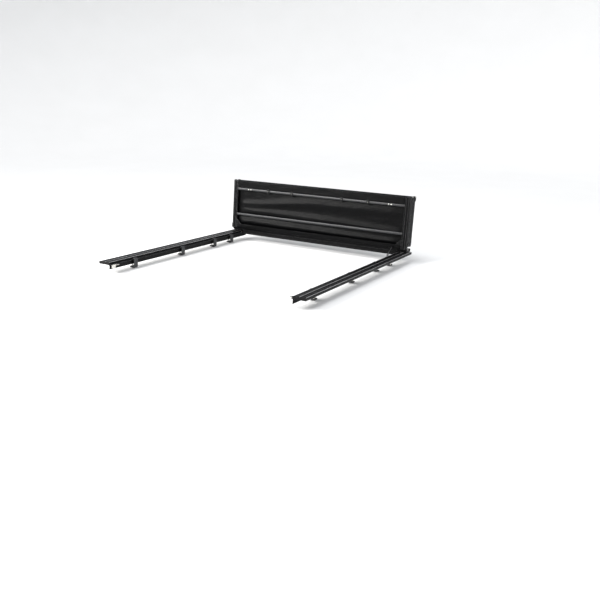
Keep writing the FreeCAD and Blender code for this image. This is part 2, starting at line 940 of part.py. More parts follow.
def latch_bases(place):
    """A flanged post under the tail for each latch lever."""
    low = panel_top(4) - W["thick"]
    along, across = latch_middle()
    posts = []
    for side_name, side in SIDES.items():
        foot = (across * side, -along, low)
        flange = rod(f"latch_{side_name}_flange", foot, size("latch_base_radius"),
                     size("latch_base_high"), (0, 0, -1))
        shaft = rod(f"latch_{side_name}_shaft", foot, size("latch_post_radius"),
                    size("latch_post_long"), (0, 0, -1))
        posts.append(fused(f"latch_{side_name}_post", [flange, shaft]))
    finish(grouped("latch_posts", posts), place)


def latch_lever(side_name, side, place):
    """Flat lever on the post: a tongue ahead, a handle with a raised knob behind."""
    low = panel_top(4) - W["thick"]
    along, across = latch_middle()
    thick = size("latch_lever_thick")
    floor = low - size("latch_under_drop") - thick
    centre_x, centre_y = across * side, -along
    half = size("latch_lever_wide") / 2
    tip, back = centre_y + size("latch_tongue_long"), centre_y - size("latch_handle_long")
    narrow, taper, edge = (
        size("latch_tip_chamfer"), size("latch_tip_taper"), size("latch_end_chamfer")
    )
    outline = [
        (centre_x - half, back + edge),
        (centre_x - half + edge, back),
        (centre_x + half - edge, back),
        (centre_x + half, back + edge),
        (centre_x + half, tip - taper),
        (centre_x + half - narrow, tip),
        (centre_x - half + narrow, tip),
        (centre_x - half, tip - taper),
    ]
    bar = new_body(f"latch_{side_name}_bar")
    pad(bar, "bar", "XY_Plane", [outline], floor, thick)
    hub = rod(f"latch_{side_name}_hub", (centre_x, centre_y, floor), size("latch_hub_radius"),
              thick + size("latch_hub_raised"), (0, 0, 1))
    drop = size("latch_knob_drop")
    knob_foot = (centre_x, back + size("latch_knob_inset"), floor - drop)
    knob = rod(
        f"latch_{side_name}_knob", knob_foot, size("latch_knob_radius"), drop + CUT_PAST, (0, 0, 1)
    )
    blank = fused(f"latch_{side_name}_blank", [bar, hub, knob])
    bore = rod(
        f"latch_{side_name}_bore", (centre_x, centre_y, floor - CUT_PAST),
        size("latch_post_radius") + size("pin_running"), thick * 4, (0, 0, 1),
    )
    lever = cut(f"{side_name}_latch_lever", blank, bore)
    lever.Label = f"{side_name}_latch_lever"
    finish(lever, place)


def rod_reach():
    """Where the prop rod's end rests on panel 1's front end bow, from the rod's pivot."""
    lean = math.radians(STACK_LEAN)
    gap = size("fold_gap").number + W["thick"].number
    off = gap + size("rod_clearance").number + size("rod_tip_radius").number
    along = size("rod_contact_up").number
    end_y = -W["hinge_back"].number + along * math.sin(lean) - off * math.cos(lean)
    end_z = W["hinge_up"].number + along * math.cos(lean) + off * math.sin(lean)
    return end_y + size("rod_pivot_back").number, end_z - size("rod_pivot_up").number


def prop_rod():
    """Wire rod on a pivot at the right rail; its end holds panel 1 upright."""
    reach_y, reach_z = rod_reach()
    across, back, up = size("rod_from_centre"), size("rod_pivot_back"), size("rod_pivot_up")
    length = math.hypot(reach_y, reach_z)
    arm = rod("prop_arm", (across, -back, up), size("rod_radius"), length, (0, reach_y, reach_z))
    tip = document.addObject("Part::Sphere", "prop_tip")
    bind(tip, "Radius", size("rod_tip_radius"))
    tip.Placement = at(across.number, reach_y - back.number, reach_z + up.number)
    wide = size("rod_eye_wide")
    eye = rod("prop_eye", (across - wide / 2, -back, up), size("rod_foot_radius"), wide, (1, 0, 0))
    blank = fused("prop_blank", [arm, tip, eye])
    bore = rod(
        "prop_bore", (across - wide / 2 - CUT_PAST, -back, up),
        size("pin_radius") + size("pin_running"), wide + 2 * CUT_PAST, (1, 0, 0),
    )
    item = cut("prop_rod", blank, bore)
    item.Label = "prop_rod"
    finish(item)


def prop_bracket():
    """Bracket on the right rail's lip with the pin that the prop rod turns on."""
    across, back, up = size("rod_from_centre"), size("rod_pivot_back"), size("rod_pivot_up")
    lip_edge = size("rail_inner") - size("rail_lip")
    lip_top, thick, long = size("rail_wall"), size("rod_bracket_thick"), size("rod_bracket_long")
    start = across + size("rod_eye_wide") / 2 + size("rod_side_play")
    near = -back - long / 2
    foot = block("prop_foot", (start, near, lip_top), (size("rail_inner") - start, long, thick))
    cheek = block("prop_cheek", (start, near, lip_top), (thick, long, size("rod_cheek_high")))
    web = block("prop_web", (lip_edge, near, lip_top), (thick, long, size("rod_web_high")))
    pin_start = across - size("rod_eye_wide") / 2 - size("rod_pin_past")
    pin = rod(
        "prop_pin", (pin_start, -back, up), size("pin_radius"), size("rod_pin_long"), (1, 0, 0)
    )
    head_long = size("rod_pin_head_long")
    head = rod(
        "prop_head", (pin_start - head_long, -back, up), size("pin_head_radius"), head_long,
        (1, 0, 0),
    )
    item = fused("prop_rod_bracket", [foot, cheek, web, pin, head])
    item.Label = "prop_rod_bracket"
    finish(item)


# ---- assembly ------------------------------------------------------------------------------------


def build():
    fill_sheet()
    work_out_sizes()
    for side_name, side in SIDES.items():
        side_rail(side_name, side)
        rail_seal(side_name, side)
        rail_clamps(side_name, side)
        striker(side_name, side)
    rail_end_caps()
    header_bar()
    header_seal()
    corner_brackets()
    rail_screws()
    clamp_bolts()
    header_hinge()
    prop_bracket()
    places = panel_places()
    for number in (1, 2, 3, 4):
        place = places[number]
        for side_name, side in SIDES.items():
            side_frame(number, side_name, side, place)
        end_bows(number, place)
        mid_bows(number, place)
        gussets(number, place)
        skin(number, place)
        panel_plates(number, place)
    bow_clips(places[1])
    bow_bolts(places[1])
    fold_link(places["link"])
    tail_seal(places[4])
    latch_bases(places[4])
    for side_name, side in SIDES.items():
        latch_lever(side_name, side, places[4])
    prop_rod()


def check_and_write():
    document.recompute()
    for item in document.Objects:
        if {"Invalid", "Error"} & set(item.State):
            raise RuntimeError(f"{item.Label} failed: {item.State} {item.getStatusString()}")
    for item in finished:
        if item.Shape.isNull() or not item.Shape.isValid():
            raise RuntimeError(f"{item.Label} has no valid shape")
    os.makedirs("parts", exist_ok=True)
    for item in finished:
        item.Shape.exportStep(f"parts/{item.Label}.step")
    print(len(finished), "sub-parts")


build()
check_and_write()
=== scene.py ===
"""Looks of the folding tonneau cover: vinyl, seals, hardware, materials, light and camera."""
import json
import math

import bmesh
import bpy
from mathutils import Matrix, Vector, noise

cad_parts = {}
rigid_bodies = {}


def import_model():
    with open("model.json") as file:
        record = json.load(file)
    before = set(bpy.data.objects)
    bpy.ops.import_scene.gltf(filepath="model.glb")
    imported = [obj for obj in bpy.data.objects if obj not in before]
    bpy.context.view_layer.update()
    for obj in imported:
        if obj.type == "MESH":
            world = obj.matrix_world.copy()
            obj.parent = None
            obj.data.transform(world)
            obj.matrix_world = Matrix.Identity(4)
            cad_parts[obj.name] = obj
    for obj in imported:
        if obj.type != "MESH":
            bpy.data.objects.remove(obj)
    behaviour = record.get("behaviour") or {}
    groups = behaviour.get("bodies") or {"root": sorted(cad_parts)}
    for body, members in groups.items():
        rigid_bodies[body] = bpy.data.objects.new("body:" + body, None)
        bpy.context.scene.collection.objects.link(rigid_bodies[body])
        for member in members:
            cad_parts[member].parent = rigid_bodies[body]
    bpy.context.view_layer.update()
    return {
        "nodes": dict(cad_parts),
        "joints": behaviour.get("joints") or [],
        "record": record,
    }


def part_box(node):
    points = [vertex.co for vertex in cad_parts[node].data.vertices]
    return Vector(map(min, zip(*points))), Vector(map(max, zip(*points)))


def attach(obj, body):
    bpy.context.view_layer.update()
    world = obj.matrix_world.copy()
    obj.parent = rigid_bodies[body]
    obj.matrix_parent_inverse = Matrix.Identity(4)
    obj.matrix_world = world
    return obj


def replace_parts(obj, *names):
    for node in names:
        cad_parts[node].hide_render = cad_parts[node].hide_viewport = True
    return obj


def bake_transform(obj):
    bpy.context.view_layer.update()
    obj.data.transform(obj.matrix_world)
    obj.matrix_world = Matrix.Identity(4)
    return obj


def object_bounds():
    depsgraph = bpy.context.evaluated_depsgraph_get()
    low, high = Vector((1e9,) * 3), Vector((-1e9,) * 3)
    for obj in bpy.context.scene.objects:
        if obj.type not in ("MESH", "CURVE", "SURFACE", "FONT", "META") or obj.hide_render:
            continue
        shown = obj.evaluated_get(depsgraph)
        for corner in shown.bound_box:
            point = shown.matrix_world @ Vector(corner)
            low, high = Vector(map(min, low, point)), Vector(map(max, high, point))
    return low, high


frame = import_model()

MM = 0.001
ACROSS, UP = Vector((1, 0, 0)), Vector((0, 0, 1))
JOINT_AT = {joint["name"]: joint["pos_m"] for joint in frame["joints"]}

# ---- sizes read from the frame ----

HALF_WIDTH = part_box("panel_1_skin")[1][0]
INNER_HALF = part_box("panel_1_upper_bow")[1][0]
FRAME_WIDE = HALF_WIDTH - INNER_HALF
PANEL_THICK = 26 * MM
VINYL_THICK = 1.2 * MM
SKIN_THICK = 2 * MM
END_GAP = 5 * MM
BOW_WIDE = 22 * MM
FOLD_GAP = 1.5 * MM
UPPER_BOW = 362 * MM
LOWER_BOW = 128 * MM
MID_BOWS = (140 * MM, 270 * MM)
MID_BOW_WIDE = 20 * MM
MID_BOW_HIGH = 12 * MM
CLIP_FACE = 5.2 * MM
CLIP_SCREW = 2.4 * MM
SAG = 6 * MM
SIDE_RAMP, END_RAMP = 75 * MM, 35 * MM
SIM_FRAMES = 16
TURN_STEPS = 28
GLUE_REACH = 0.6 * MM
HEM_RADIUS, HEM_START = 3.5 * MM, 6 * MM
STRIP_THICK = 0.9 * MM
STRIP_SHORT = 2 * MM
HINGE_TAIL = 4.5 * MM
FLAP_TAIL = 30 * MM
CAMERA_AT = (3.0554, -5.6517, 1.2487)
CAMERA_YAW, CAMERA_PITCH, CAMERA_ROLL = 29.54, 15.58, 1.757
CAMERA_LENS = 43.53


# ---- folded places: one local frame per folding body ----


class Place:
    """A folding body's own axes at rest: x across, along away from its front hinge, up off its vinyl."""

    def __init__(self, body, hinge, along, up, pitch, top):
        self.body = body
        self.origin = Vector((0, hinge[1], hinge[2]))
        self.along = Vector((0, along[0], along[1]))
        self.up = Vector((0, up[0], up[1]))
        self.pitch = pitch
        self.top = top

    def point(self, x, along, height):
        """The world point at x, at a distance behind the front hinge, at a height over its axis."""
        return Vector((x, 0, 0)) + self.origin + self.along * along + self.up * height


def folded_places():
    stand = Vector(JOINT_AT["stand"])
    top_fold = Vector(JOINT_AT["fold_12"])
    first_pitch = (top_fold - stand).length
    rise = (top_fold - stand) / first_pitch
    along = (rise.y, rise.z)
    up = (rise.z, -rise.y)
    back, down = (-along[0], -along[1]), (-up[0], -up[1])
    third = Vector(JOINT_AT["fold_link_3"])
    pitch = (Vector(JOINT_AT["fold_34"]) - third).dot(Vector((0, *along)))
    link_wide = (third - Vector(JOINT_AT["fold_2_link"])).length
    return {
        1: Place("panel_1", JOINT_AT["stand"], along, up, first_pitch, -FOLD_GAP),
        2: Place("panel_2", JOINT_AT["fold_12"], back, down, pitch, -FOLD_GAP),
        "link": Place("fold_link", JOINT_AT["fold_2_link"], up, back, link_wide, 0.0),
        3: Place("panel_3", JOINT_AT["fold_link_3"], along, up, pitch, 0.0),
        4: Place("panel_4", JOINT_AT["fold_34"], back, down, pitch, -FOLD_GAP),
    }


PLACES = folded_places()


# ---- mesh helpers ----


def new_object(name, verts, faces):
    mesh = bpy.data.meshes.new(name)
    mesh.from_pydata([tuple(v) for v in verts], [], faces)
    mesh.validate()
    mesh.update()
    mesh.shade_smooth()
    thing = bpy.data.objects.new(name, mesh)
    bpy.context.scene.collection.objects.link(thing)
    return thing


def apply_modifiers(thing):
    """Bake the object's modifiers into its mesh."""
    graph = bpy.context.evaluated_depsgraph_get()
    baked = bpy.data.meshes.new_from_object(thing.evaluated_get(graph))
    thing.modifiers.clear()
    thing.data = baked


def grid_faces(rows, columns):
    return [
        (r * columns + c, r * columns + c + 1, (r + 1) * columns + c + 1, (r + 1) * columns + c)
        for r in range(rows - 1)
        for c in range(columns - 1)
    ]


def grid_object(name, points):
    """An open surface through a table of points, rows by columns."""
    rows, columns = len(points), len(points[0])
    return new_object(name, [p for row in points for p in row], grid_faces(rows, columns))


def thicken(thing, thick, offset=0.0):
    """Turn an open surface into a closed sheet."""
    solid = thing.modifiers.new("thick", "SOLIDIFY")
    solid.thickness = thick
    solid.offset = offset
    solid.use_even_offset = True
    apply_modifiers(thing)


def smooth_step(t):
    t = min(1.0, max(0.0, t))
    return t * t * (3 - 2 * t)


def face_outwards(thing):
    mesh = bmesh.new()
    mesh.from_mesh(thing.data)
    bmesh.ops.recalc_face_normals(mesh, faces=mesh.faces)
    mesh.to_mesh(thing.data)
    mesh.free()


def tube_faces(start, rings, count):
    """Faces of a tube of rings, with both ends closed."""
    faces = []
    for r in range(rings - 1):
        low, high = start + r * count, start + (r + 1) * count
        for i in range(count):
            k = (i + 1) % count
            faces.append((low + i, low + k, high + k, high + i))
    faces.append(tuple(start + i for i in reversed(range(count))))
    faces.append(tuple(start + (rings - 1) * count + i for i in range(count)))
    return faces


def swept(name, profile, path):
    """A solid made by carrying a closed profile of (right, up) offsets along a list of frames.

    Each frame is (point, right, up).
    """
    verts = [point + right * a + up * b for point, right, up in path for a, b in profile]
    thing = new_object(name, verts, tube_faces(0, len(path), len(profile)))
    face_outwards(thing)
    return thing


def islands(node):
    """The low and high corners of every separate solid of a CAD node, in world metres."""
    found = []
    for piece in [frame["nodes"][node]] + list(frame["nodes"][node].children_recursive):
        if piece.type != "MESH":
            continue
        mesh = bmesh.new()
        mesh.from_mesh(piece.data)
        bmesh.ops.transform(mesh, matrix=piece.matrix_world, verts=mesh.verts)
        bmesh.ops.remove_doubles(mesh, verts=mesh.verts, dist=1e-5)
        left = set(mesh.verts)
        while left:
            group, queue = [], [left.pop()]
            while queue:
                vertex = queue.pop()
                group.append(vertex.co.copy())
                for edge in vertex.link_edges:
                    other = edge.other_vert(vertex)
                    if other in left:
                        left.remove(other)
                        queue.append(other)
            low = Vector([min(co[i] for co in group) for i in range(3)])
            high = Vector([max(co[i] for co in group) for i in range(3)])
            found.append((low, high))
        mesh.free()
    return sorted(found, key=lambda box: tuple(round(value, 4) for value in box[0]))


class Turned:
    """Gathers turned details, such as bolt heads, into one object."""

    def __init__(self):
        self.verts, self.faces = [], []

    def add(self, base, axis, profile):
        """Turn a profile of (radius, height, sides) rings about an axis through base.

        sides is 0 for a round ring, or the number of flats.
        """
        axis = Vector(axis).normalized()
        side = axis.orthogonal().normalized()
        other = axis.cross(side)
        start = len(self.verts)
        for radius, height, sides in profile:
            for i in range(TURN_STEPS):
                a = 2 * math.pi * i / TURN_STEPS
                reach = radius
                if sides:
                    part = math.pi / sides
                    reach = radius * math.cos(part) / math.cos((a % (2 * part)) - part)
                point = base + axis * height + (side * math.cos(a) + other * math.sin(a)) * reach
                self.verts.append(point)
        self.faces += tube_faces(start, len(profile), TURN_STEPS)

    def finish(self, name, look):
        thing = new_object(name, self.verts, self.faces)
        dress(thing, look, 35)
        return thing


def button_head(radius, high):
    """A button head with a washer lip and a hexagon socket."""
    return [
        (radius, 0, 0), (radius, high * 0.22, 0), (radius * 0.97, high * 0.30, 0),
        (radius * 0.90, high * 0.55, 0), (radius * 0.74, high * 0.82, 0),
        (radius * 0.50, high, 0), (radius * 0.40, high, 6), (radius * 0.38, high * 0.94, 6),
        (radius * 0.37, high * 0.45, 6), (radius * 0.05, high * 0.40, 0),
    ]


def hexagon_head(radius, high):
    """A hexagon bolt head on a round washer."""
    return [
        (radius, 0, 0), (radius, high * 0.16, 0), (radius * 0.95, high * 0.20, 0),
        (radius * 0.86, high * 0.21, 6), (radius * 0.88, high * 0.24, 6),
        (radius * 0.88, high * 0.86, 6), (radius * 0.78, high * 0.97, 0),
        (radius * 0.72, high, 0), (radius * 0.05, high * 0.98, 0),
    ]


# ---- node helpers for materials ----


class Nodes:
    """Short calls for building one material's node tree."""

    def __init__(self, name):
        self.material = bpy.data.materials.new(name)
        self.material.use_nodes = True
        self.tree = self.material.node_tree
        self.shader = self.tree.nodes["Principled BSDF"]
        self.coordinates = self.tree.nodes.new("ShaderNodeTexCoord").outputs["Object"]

    def link(self, source, target):
        self.tree.links.new(source, target)

    def node(self, kind, values=None, **settings):
        """A new node: values go to its input sockets, settings to the node itself."""
        made = self.tree.nodes.new(kind)
        for name, value in settings.items():
            setattr(made, name, value)
        for name, value in (values or {}).items():
            self.put(made.inputs[name], value)
        return made

    def put(self, target, value):
        if isinstance(value, bpy.types.NodeSocket):
            self.link(value, target)
        else:
            target.default_value = value

    def stretch(self, scale):
        values = {"Vector": self.coordinates, "Scale": scale}
        return self.node("ShaderNodeMapping", values).outputs["Vector"]

    def noise(self, scale, detail=4.0, roughness=0.5, vector=None, distortion=0.0):
        values = {"Vector": vector or self.coordinates, "Scale": scale, "Detail": detail,
                  "Roughness": roughness, "Distortion": distortion}
        return self.node("ShaderNodeTexNoise", values).outputs["Fac"]

    def cells(self, scale, feature="DISTANCE_TO_EDGE"):
        values = {"Vector": self.coordinates, "Scale": scale}
        return self.node("ShaderNodeTexVoronoi", values, feature=feature).outputs["Distance"]

    def math(self, operation, a, b=0.0, clamp=False):
        values = {0: a, 1: b}
        return self.node("ShaderNodeMath", values, operation=operation, use_clamp=clamp).outputs[0]

    def span(self, value, low, high, to_low=0.0, to_high=1.0):
        values = {"Value": value, "From Min": low, "From Max": high,
                  "To Min": to_low, "To Max": to_high}
        return self.node("ShaderNodeMapRange", values).outputs["Result"]

    def mix(self, factor, a, b):
        values = {"Factor": factor, 6: a, 7: b}
        return self.node("ShaderNodeMix", values, data_type="RGBA").outputs[2]

    def edges(self, radius):
        """1 on sharp edges and 0 on flat faces, from how far a rounded normal leans."""
        rounded = self.node("ShaderNodeBevel", {"Radius": radius}, samples=6).outputs["Normal"]
        plain = self.node("ShaderNodeNewGeometry").outputs["Normal"]
        dot = self.node("ShaderNodeVectorMath", {0: rounded, 1: plain}, operation="DOT_PRODUCT")
        return self.span(dot.outputs["Value"], 0.99, 0.80), rounded

    def bump(self, height, distance, strength, normal=None):
        values = {"Height": height, "Distance": distance, "Strength": strength}
        if normal is not None:
            values["Normal"] = normal
        return self.node("ShaderNodeBump", values).outputs["Normal"]

    def finish(self, color, roughness, normal, **constants):
        self.put(self.shader.inputs["Base Color"], color)
        self.put(self.shader.inputs["Roughness"], roughness)
        self.link(normal, self.shader.inputs["Normal"])
        for name, value in constants.items():
            socket = name.replace("_", " ").title().replace("Ior", "IOR")
            self.shader.inputs[socket].default_value = value
        return self.material


# ---- materials ----


def vinyl_material():
    """Black coated vinyl, darkened further with painted shade: pebbled grain, a soft gloss and faint
    handling marks.
    """
    n = Nodes("black_vinyl_with_painted_shade")
    pebble = n.cells(430)
    pebble = n.span(pebble, 0.0, 0.22)
    fine = n.noise(2600, 2.0, 0.6)
    blotch = n.noise(7.0, 5.0, 0.6)
    scuff = n.noise(55, 6.0, 0.7, vector=n.stretch((0.35, 1.0, 1.0)))
    height = n.math("ADD", n.math("MULTIPLY", pebble, 0.8), n.math("MULTIPLY", fine, 0.35))
    # Base colours sit far below the vinyl's own black: painted shade, as if the cover stood in shade.
    color = n.mix(blotch, (0.0011, 0.00115, 0.0013, 1), (0.0026, 0.0027, 0.0030, 1))
    color = n.mix(n.span(scuff, 0.60, 0.82, 0.0, 0.35), color, (0.0080, 0.0080, 0.0085, 1))
    rough = n.span(n.noise(16, 5.0, 0.6), 0.25, 0.75, 0.29, 0.38)
    rough = n.math("ADD", rough, n.math("MULTIPLY", pebble, -0.05))
    return n.finish(color, rough, n.bump(height, 0.00034, 0.75), specular_ior_level=0.07, ior=1.45)


def powder_coat_material(name, dark, light, rough_low, rough_high, edge_wear_and_highlight=(0.30, 0.30, 0.305, 1)):
    """Powder coat over aluminium: a fine orange-peel skin, paler on the edges, partly from rubbed wear
    and partly as a painted highlight along the edges.
    """
    n = Nodes(name)
    edge, rounded = n.edges(0.0016)
    peel = n.noise(900, 3.0, 0.55)
    speck = n.noise(2400, 2.0, 0.7)
    patch = n.noise(5.5, 5.0, 0.6)
    rubbed_and_lit_edge = n.math("MULTIPLY", edge, n.span(n.noise(34, 6.0, 0.7), 0.35, 0.70, 0.35, 1.0))
    color = n.mix(patch, dark, light)
    # Paler edges: partly rubbed wear, partly a painted highlight that stands in for the thin light lines
    # along the edges.
    color = n.mix(rubbed_and_lit_edge, color, edge_wear_and_highlight)
    rough = n.span(patch, 0.25, 0.75, rough_low, rough_high)
    rough = n.math("SUBTRACT", rough, n.math("MULTIPLY", rubbed_and_lit_edge, 0.12), clamp=True)
    height = n.math("ADD", n.math("MULTIPLY", peel, 0.7), n.math("MULTIPLY", speck, 0.3))
    return n.finish(color, rough, n.bump(height, 0.00018, 0.6, rounded), specular_ior_level=0.07)


def satin_bar_material():
    """Satin grey anodised bar with fine drawing lines along its length."""
    n = Nodes("satin_grey_bar")
    edge, rounded = n.edges(0.0010)
    lines = n.noise(700, 3.0, 0.6, vector=n.stretch((0.01, 1.0, 1.0)))
    patch = n.noise(9.0, 5.0, 0.65)
    color = n.mix(patch, (0.013, 0.0135, 0.015, 1), (0.026, 0.0265, 0.028, 1))
    color = n.mix(n.math("MULTIPLY", edge, 0.6), color, (0.24, 0.24, 0.25, 1))
    rough = n.span(lines, 0.3, 0.7, 0.30, 0.44)
    return n.finish(color, rough, n.bump(lines, 0.00005, 0.4, rounded), metallic=0.45)


def ridge_highlight_material():
    """Bright metal on a rail's ridge crowns, a painted highlight of the ridge lines, dulled in patches.
    """
    n = Nodes("painted_ridge_highlight")
    lines = n.noise(1400, 3.0, 0.6, vector=n.stretch((1.0, 0.01, 1.0)))
    patch = n.noise(11.0, 6.0, 0.7)
    # The pale colour is a painted highlight along each ridge crown.
    color = n.mix(n.span(patch, 0.35, 0.7), (0.72, 0.72, 0.73, 1), (0.42, 0.42, 0.43, 1))
    rough = n.span(lines, 0.3, 0.7, 0.26, 0.42)
    return n.finish(color, rough, n.bump(lines, 0.00004, 0.4), metallic=0.9)


def rubber_material():
    """Matte extruded rubber with a dusty bloom and fine lines along it."""
    n = Nodes("black_rubber")
    bloom = n.noise(24, 6.0, 0.7)
    lines = n.noise(900, 2.0, 0.6, vector=n.stretch((1.0, 0.02, 1.0)))
    grain = n.noise(1900, 3.0, 0.7)
    color = n.mix(bloom, (0.0016, 0.0016, 0.0018, 1), (0.0055, 0.0055, 0.0058, 1))
    rough = n.span(bloom, 0.3, 0.7, 0.62, 0.85)
    height = n.math("ADD", n.math("MULTIPLY", lines, 0.5), n.math("MULTIPLY", grain, 0.5))
    return n.finish(color, rough, n.bump(height, 0.00010, 0.5), specular_ior_level=0.12)


def plastic_material():
    """Black moulded nylon with a spark-eroded texture."""
    n = Nodes("moulded_nylon")
    edge, rounded = n.edges(0.0009)
    grain = n.cells(1500, "F1")
    patch = n.noise(40, 4.0, 0.6)
    color = n.mix(patch, (0.0014, 0.0014, 0.0016, 1), (0.0036, 0.0036, 0.0040, 1))
    color = n.mix(n.math("MULTIPLY", edge, 0.5), color, (0.035, 0.035, 0.036, 1))
    rough = n.span(patch, 0.3, 0.7, 0.38, 0.52)
    return n.finish(color, rough, n.bump(grain, 0.00008, 0.6, rounded), specular_ior_level=0.16)


def zinc_material():
    """Bright zinc plate with a faint yellow-blue cast and dull spots."""
    n = Nodes("zinc_plate")
    rounded = n.edges(0.0006)[1]
    cast = n.noise(60, 4.0, 0.6, distortion=0.6)
    spots = n.noise(420, 5.0, 0.75)
    color = n.mix(cast, (0.56, 0.56, 0.55, 1), (0.66, 0.64, 0.57, 1))
    color = n.mix(n.span(spots, 0.58, 0.75, 0.0, 0.6), color, (0.36, 0.35, 0.33, 1))
    rough = n.span(spots, 0.3, 0.7, 0.20, 0.42)
    return n.finish(color, rough, n.bump(spots, 0.00004, 0.5, rounded), metallic=1.0)


def dull_steel_material():
    """Black-oxide steel: an oily grey-black skin, paler on its edges and in rubbed patches."""
    n = Nodes("dull_steel")
    edge, rounded = n.edges(0.0008)
    patch = n.noise(48, 5.0, 0.65)
    scratch = n.noise(600, 4.0, 0.7, vector=n.stretch((1.0, 0.12, 1.0)))
    color = n.mix(patch, (0.055, 0.055, 0.057, 1), (0.110, 0.110, 0.112, 1))
    color = n.mix(n.math("MULTIPLY", edge, 0.6), color, (0.34, 0.34, 0.34, 1))
    rough = n.span(scratch, 0.3, 0.7, 0.32, 0.50)
    return n.finish(color, rough, n.bump(scratch, 0.00004, 0.5, rounded), metallic=0.9)


def cast_material():
    """Die-cast clamp body: a grey-black coat with a sandy skin."""
    n = Nodes("cast_clamp")
    edge, rounded = n.edges(0.0014)
    sand = n.noise(700, 5.0, 0.75)
    patch = n.noise(30, 4.0, 0.6)
    color = n.mix(patch, (0.030, 0.031, 0.033, 1), (0.060, 0.061, 0.064, 1))
    color = n.mix(n.math("MULTIPLY", edge, 0.7), color, (0.24, 0.24, 0.245, 1))
    rough = n.span(sand, 0.3, 0.7, 0.38, 0.58)
    return n.finish(color, rough, n.bump(sand, 0.00020, 0.6, rounded), metallic=0.7)


def floor_material():
    n = Nodes("pale_floor")
    haze = n.noise(1.3, 3.0, 0.5)
    color = n.mix(haze, (0.80, 0.80, 0.795, 1), (0.84, 0.84, 0.84, 1))
    return n.finish(color, 0.75, n.bump(n.noise(120, 4.0, 0.6), 0.0002, 0.2))


MATERIALS = {
    "vinyl": vinyl_material(),
    "frame": powder_coat_material(
        "frame_coat", (0.0012, 0.00125, 0.0014, 1), (0.0028, 0.0029, 0.0032, 1), 0.28, 0.40
    ),
    "rail": powder_coat_material(
        "rail_coat", (0.0020, 0.0021, 0.0023, 1), (0.0045, 0.0046, 0.0050, 1), 0.24, 0.36,
        (0.28, 0.28, 0.285, 1),
    ),
    "black_steel": powder_coat_material(
        "black_steel", (0.0040, 0.0040, 0.0044, 1), (0.0090, 0.0090, 0.0096, 1), 0.32, 0.46
    ),
    "edge_strip": powder_coat_material(
        "edge_strip", (0.012, 0.012, 0.0125, 1), (0.022, 0.022, 0.0225, 1), 0.26, 0.38,
        (0.40, 0.40, 0.405, 1),
    ),
    "bar": satin_bar_material(),
    "ridge": ridge_highlight_material(),
    "rubber": rubber_material(),
    "plastic": plastic_material(),
    "zinc": zinc_material(),
    "dull_steel": dull_steel_material(),
    "cast": cast_material(),
}

SLOT_LOOKS = {
    "vinyl": "vinyl",
    "rubber": "rubber",
    "black_plastic": "plastic",
    "lever_plastic": "plastic",
    "zinc_steel": "zinc",
    "black_steel": "black_steel",
    "clamp_aluminium": "cast",
    "rail_aluminium": "rail",
    "bow_aluminium": "bar",
    "frame_aluminium": "frame",
}
NODE_LOOKS = {"prop_rod_bracket": "dull_steel", "corner_brackets": "dull_steel"}


def paint(thing, look):
    thing.data.materials.clear()
    thing.data.materials.append(MATERIALS[look])


def paint_cad_nodes():
    """Give every CAD node the finish that its slot in the record calls for."""
    slots = {row["node"]: row["material_slot"] for row in frame["record"]["subparts"]}
    for node, thing in frame["nodes"].items():
        material = MATERIALS[NODE_LOOKS.get(node, SLOT_LOOKS[slots[node]])]
        for piece in [thing] + list(thing.children_recursive):
            for place in getattr(piece, "material_slots", []):
                place.material = material


def dress(thing, look, sharp_from):
    """Give a piece its finish, with sharp edges from an angle in degrees."""
    thing.data.set_sharp_from_angle(angle=math.radians(sharp_from))
    paint(thing, look)


# ---- vinyl over the panels ----


def bows_of(number):
    return (LOWER_BOW, UPPER_BOW) if number == 1 else MID_BOWS


def bay_edges(number):
    """Where a panel's opening starts and ends, and the edges of the bows that cross it."""
    place = PLACES[number]
    marks = [END_GAP + BOW_WIDE]
    for bow in bows_of(number):
        marks += [bow - MID_BOW_WIDE / 2, bow + MID_BOW_WIDE / 2]
    marks.append(place.pitch - END_GAP - BOW_WIDE)
    return marks


def fold_ridge(along, middle, wide):
    """A long soft fold across the panel, seen along the panel."""
    return math.exp(-((along - middle) / wide) ** 2)


def free_share(number, x, along):
    """How free the vinyl is to leave its frame: 0 at the glued edges, 1 well inside them."""
    marks = bay_edges(number)
    side = smooth_step((INNER_HALF - abs(x)) / SIDE_RAMP)
    near = smooth_step((along - marks[0]) / END_RAMP)
    far = smooth_step((marks[-1] - along) / END_RAMP)
    return side * near * far


def slack(number, x, along):
    """How far the vinyl lies below its frame before it is let go to hang."""
    swell = noise.noise(Vector((x * 1.2, along * 3.5, number * 2.7)))
    crease = noise.noise(Vector((x * 4.0 + 16 * along, along * 8.0, number * 1.3)))
    return SAG * (1.0 + 0.30 * swell + 0.05 * crease) * free_share(number, x, along)


def set_folds(number, x, along):
    """How much deeper the long folds are that folding has set into the vinyl."""
    across = x / INNER_HALF
    if number == 1:
        spread = smooth_step((across + 1) / 1.1)
        fade = 1.0 - 0.62 * smooth_step(across)
        top_fold = 0.0105 * fade * fold_ridge(along, 0.226 + 0.068 * spread, 0.028 + 0.008 * spread)
        long_fold = 0.0120 * fold_ridge(along, 0.160 - 0.021 * across - 0.013 * across ** 2, 0.030)
        low_fold = 0.0150 * fold_ridge(along, 0.058 - 0.012 * across, 0.030)
        depth = top_fold + long_fold + low_fold
    else:
        depth = 0.0060 * fold_ridge(along, 0.20 + 0.03 * across, 0.06)
    sway = noise.noise(Vector((x * 1.7, along * 2.0, number * 4.9)))
    return depth * (1.0 + 0.20 * sway) * free_share(number, x, along)


def held_on_frame(number, x, along):
    """True where the vinyl is glued to the frame's sides or to its end bows."""
    marks = bay_edges(number)
    return abs(x) >= INNER_HALF - 0.001 or along <= marks[0] or along >= marks[-1]


CLOTH = {
    "quality": 8, "mass": 0.002, "tension_stiffness": 15, "compression_stiffness": 15,
    "shear_stiffness": 6, "bending_stiffness": 0.6, "tension_damping": 8,
    "compression_damping": 8, "air_damping": 3,
}


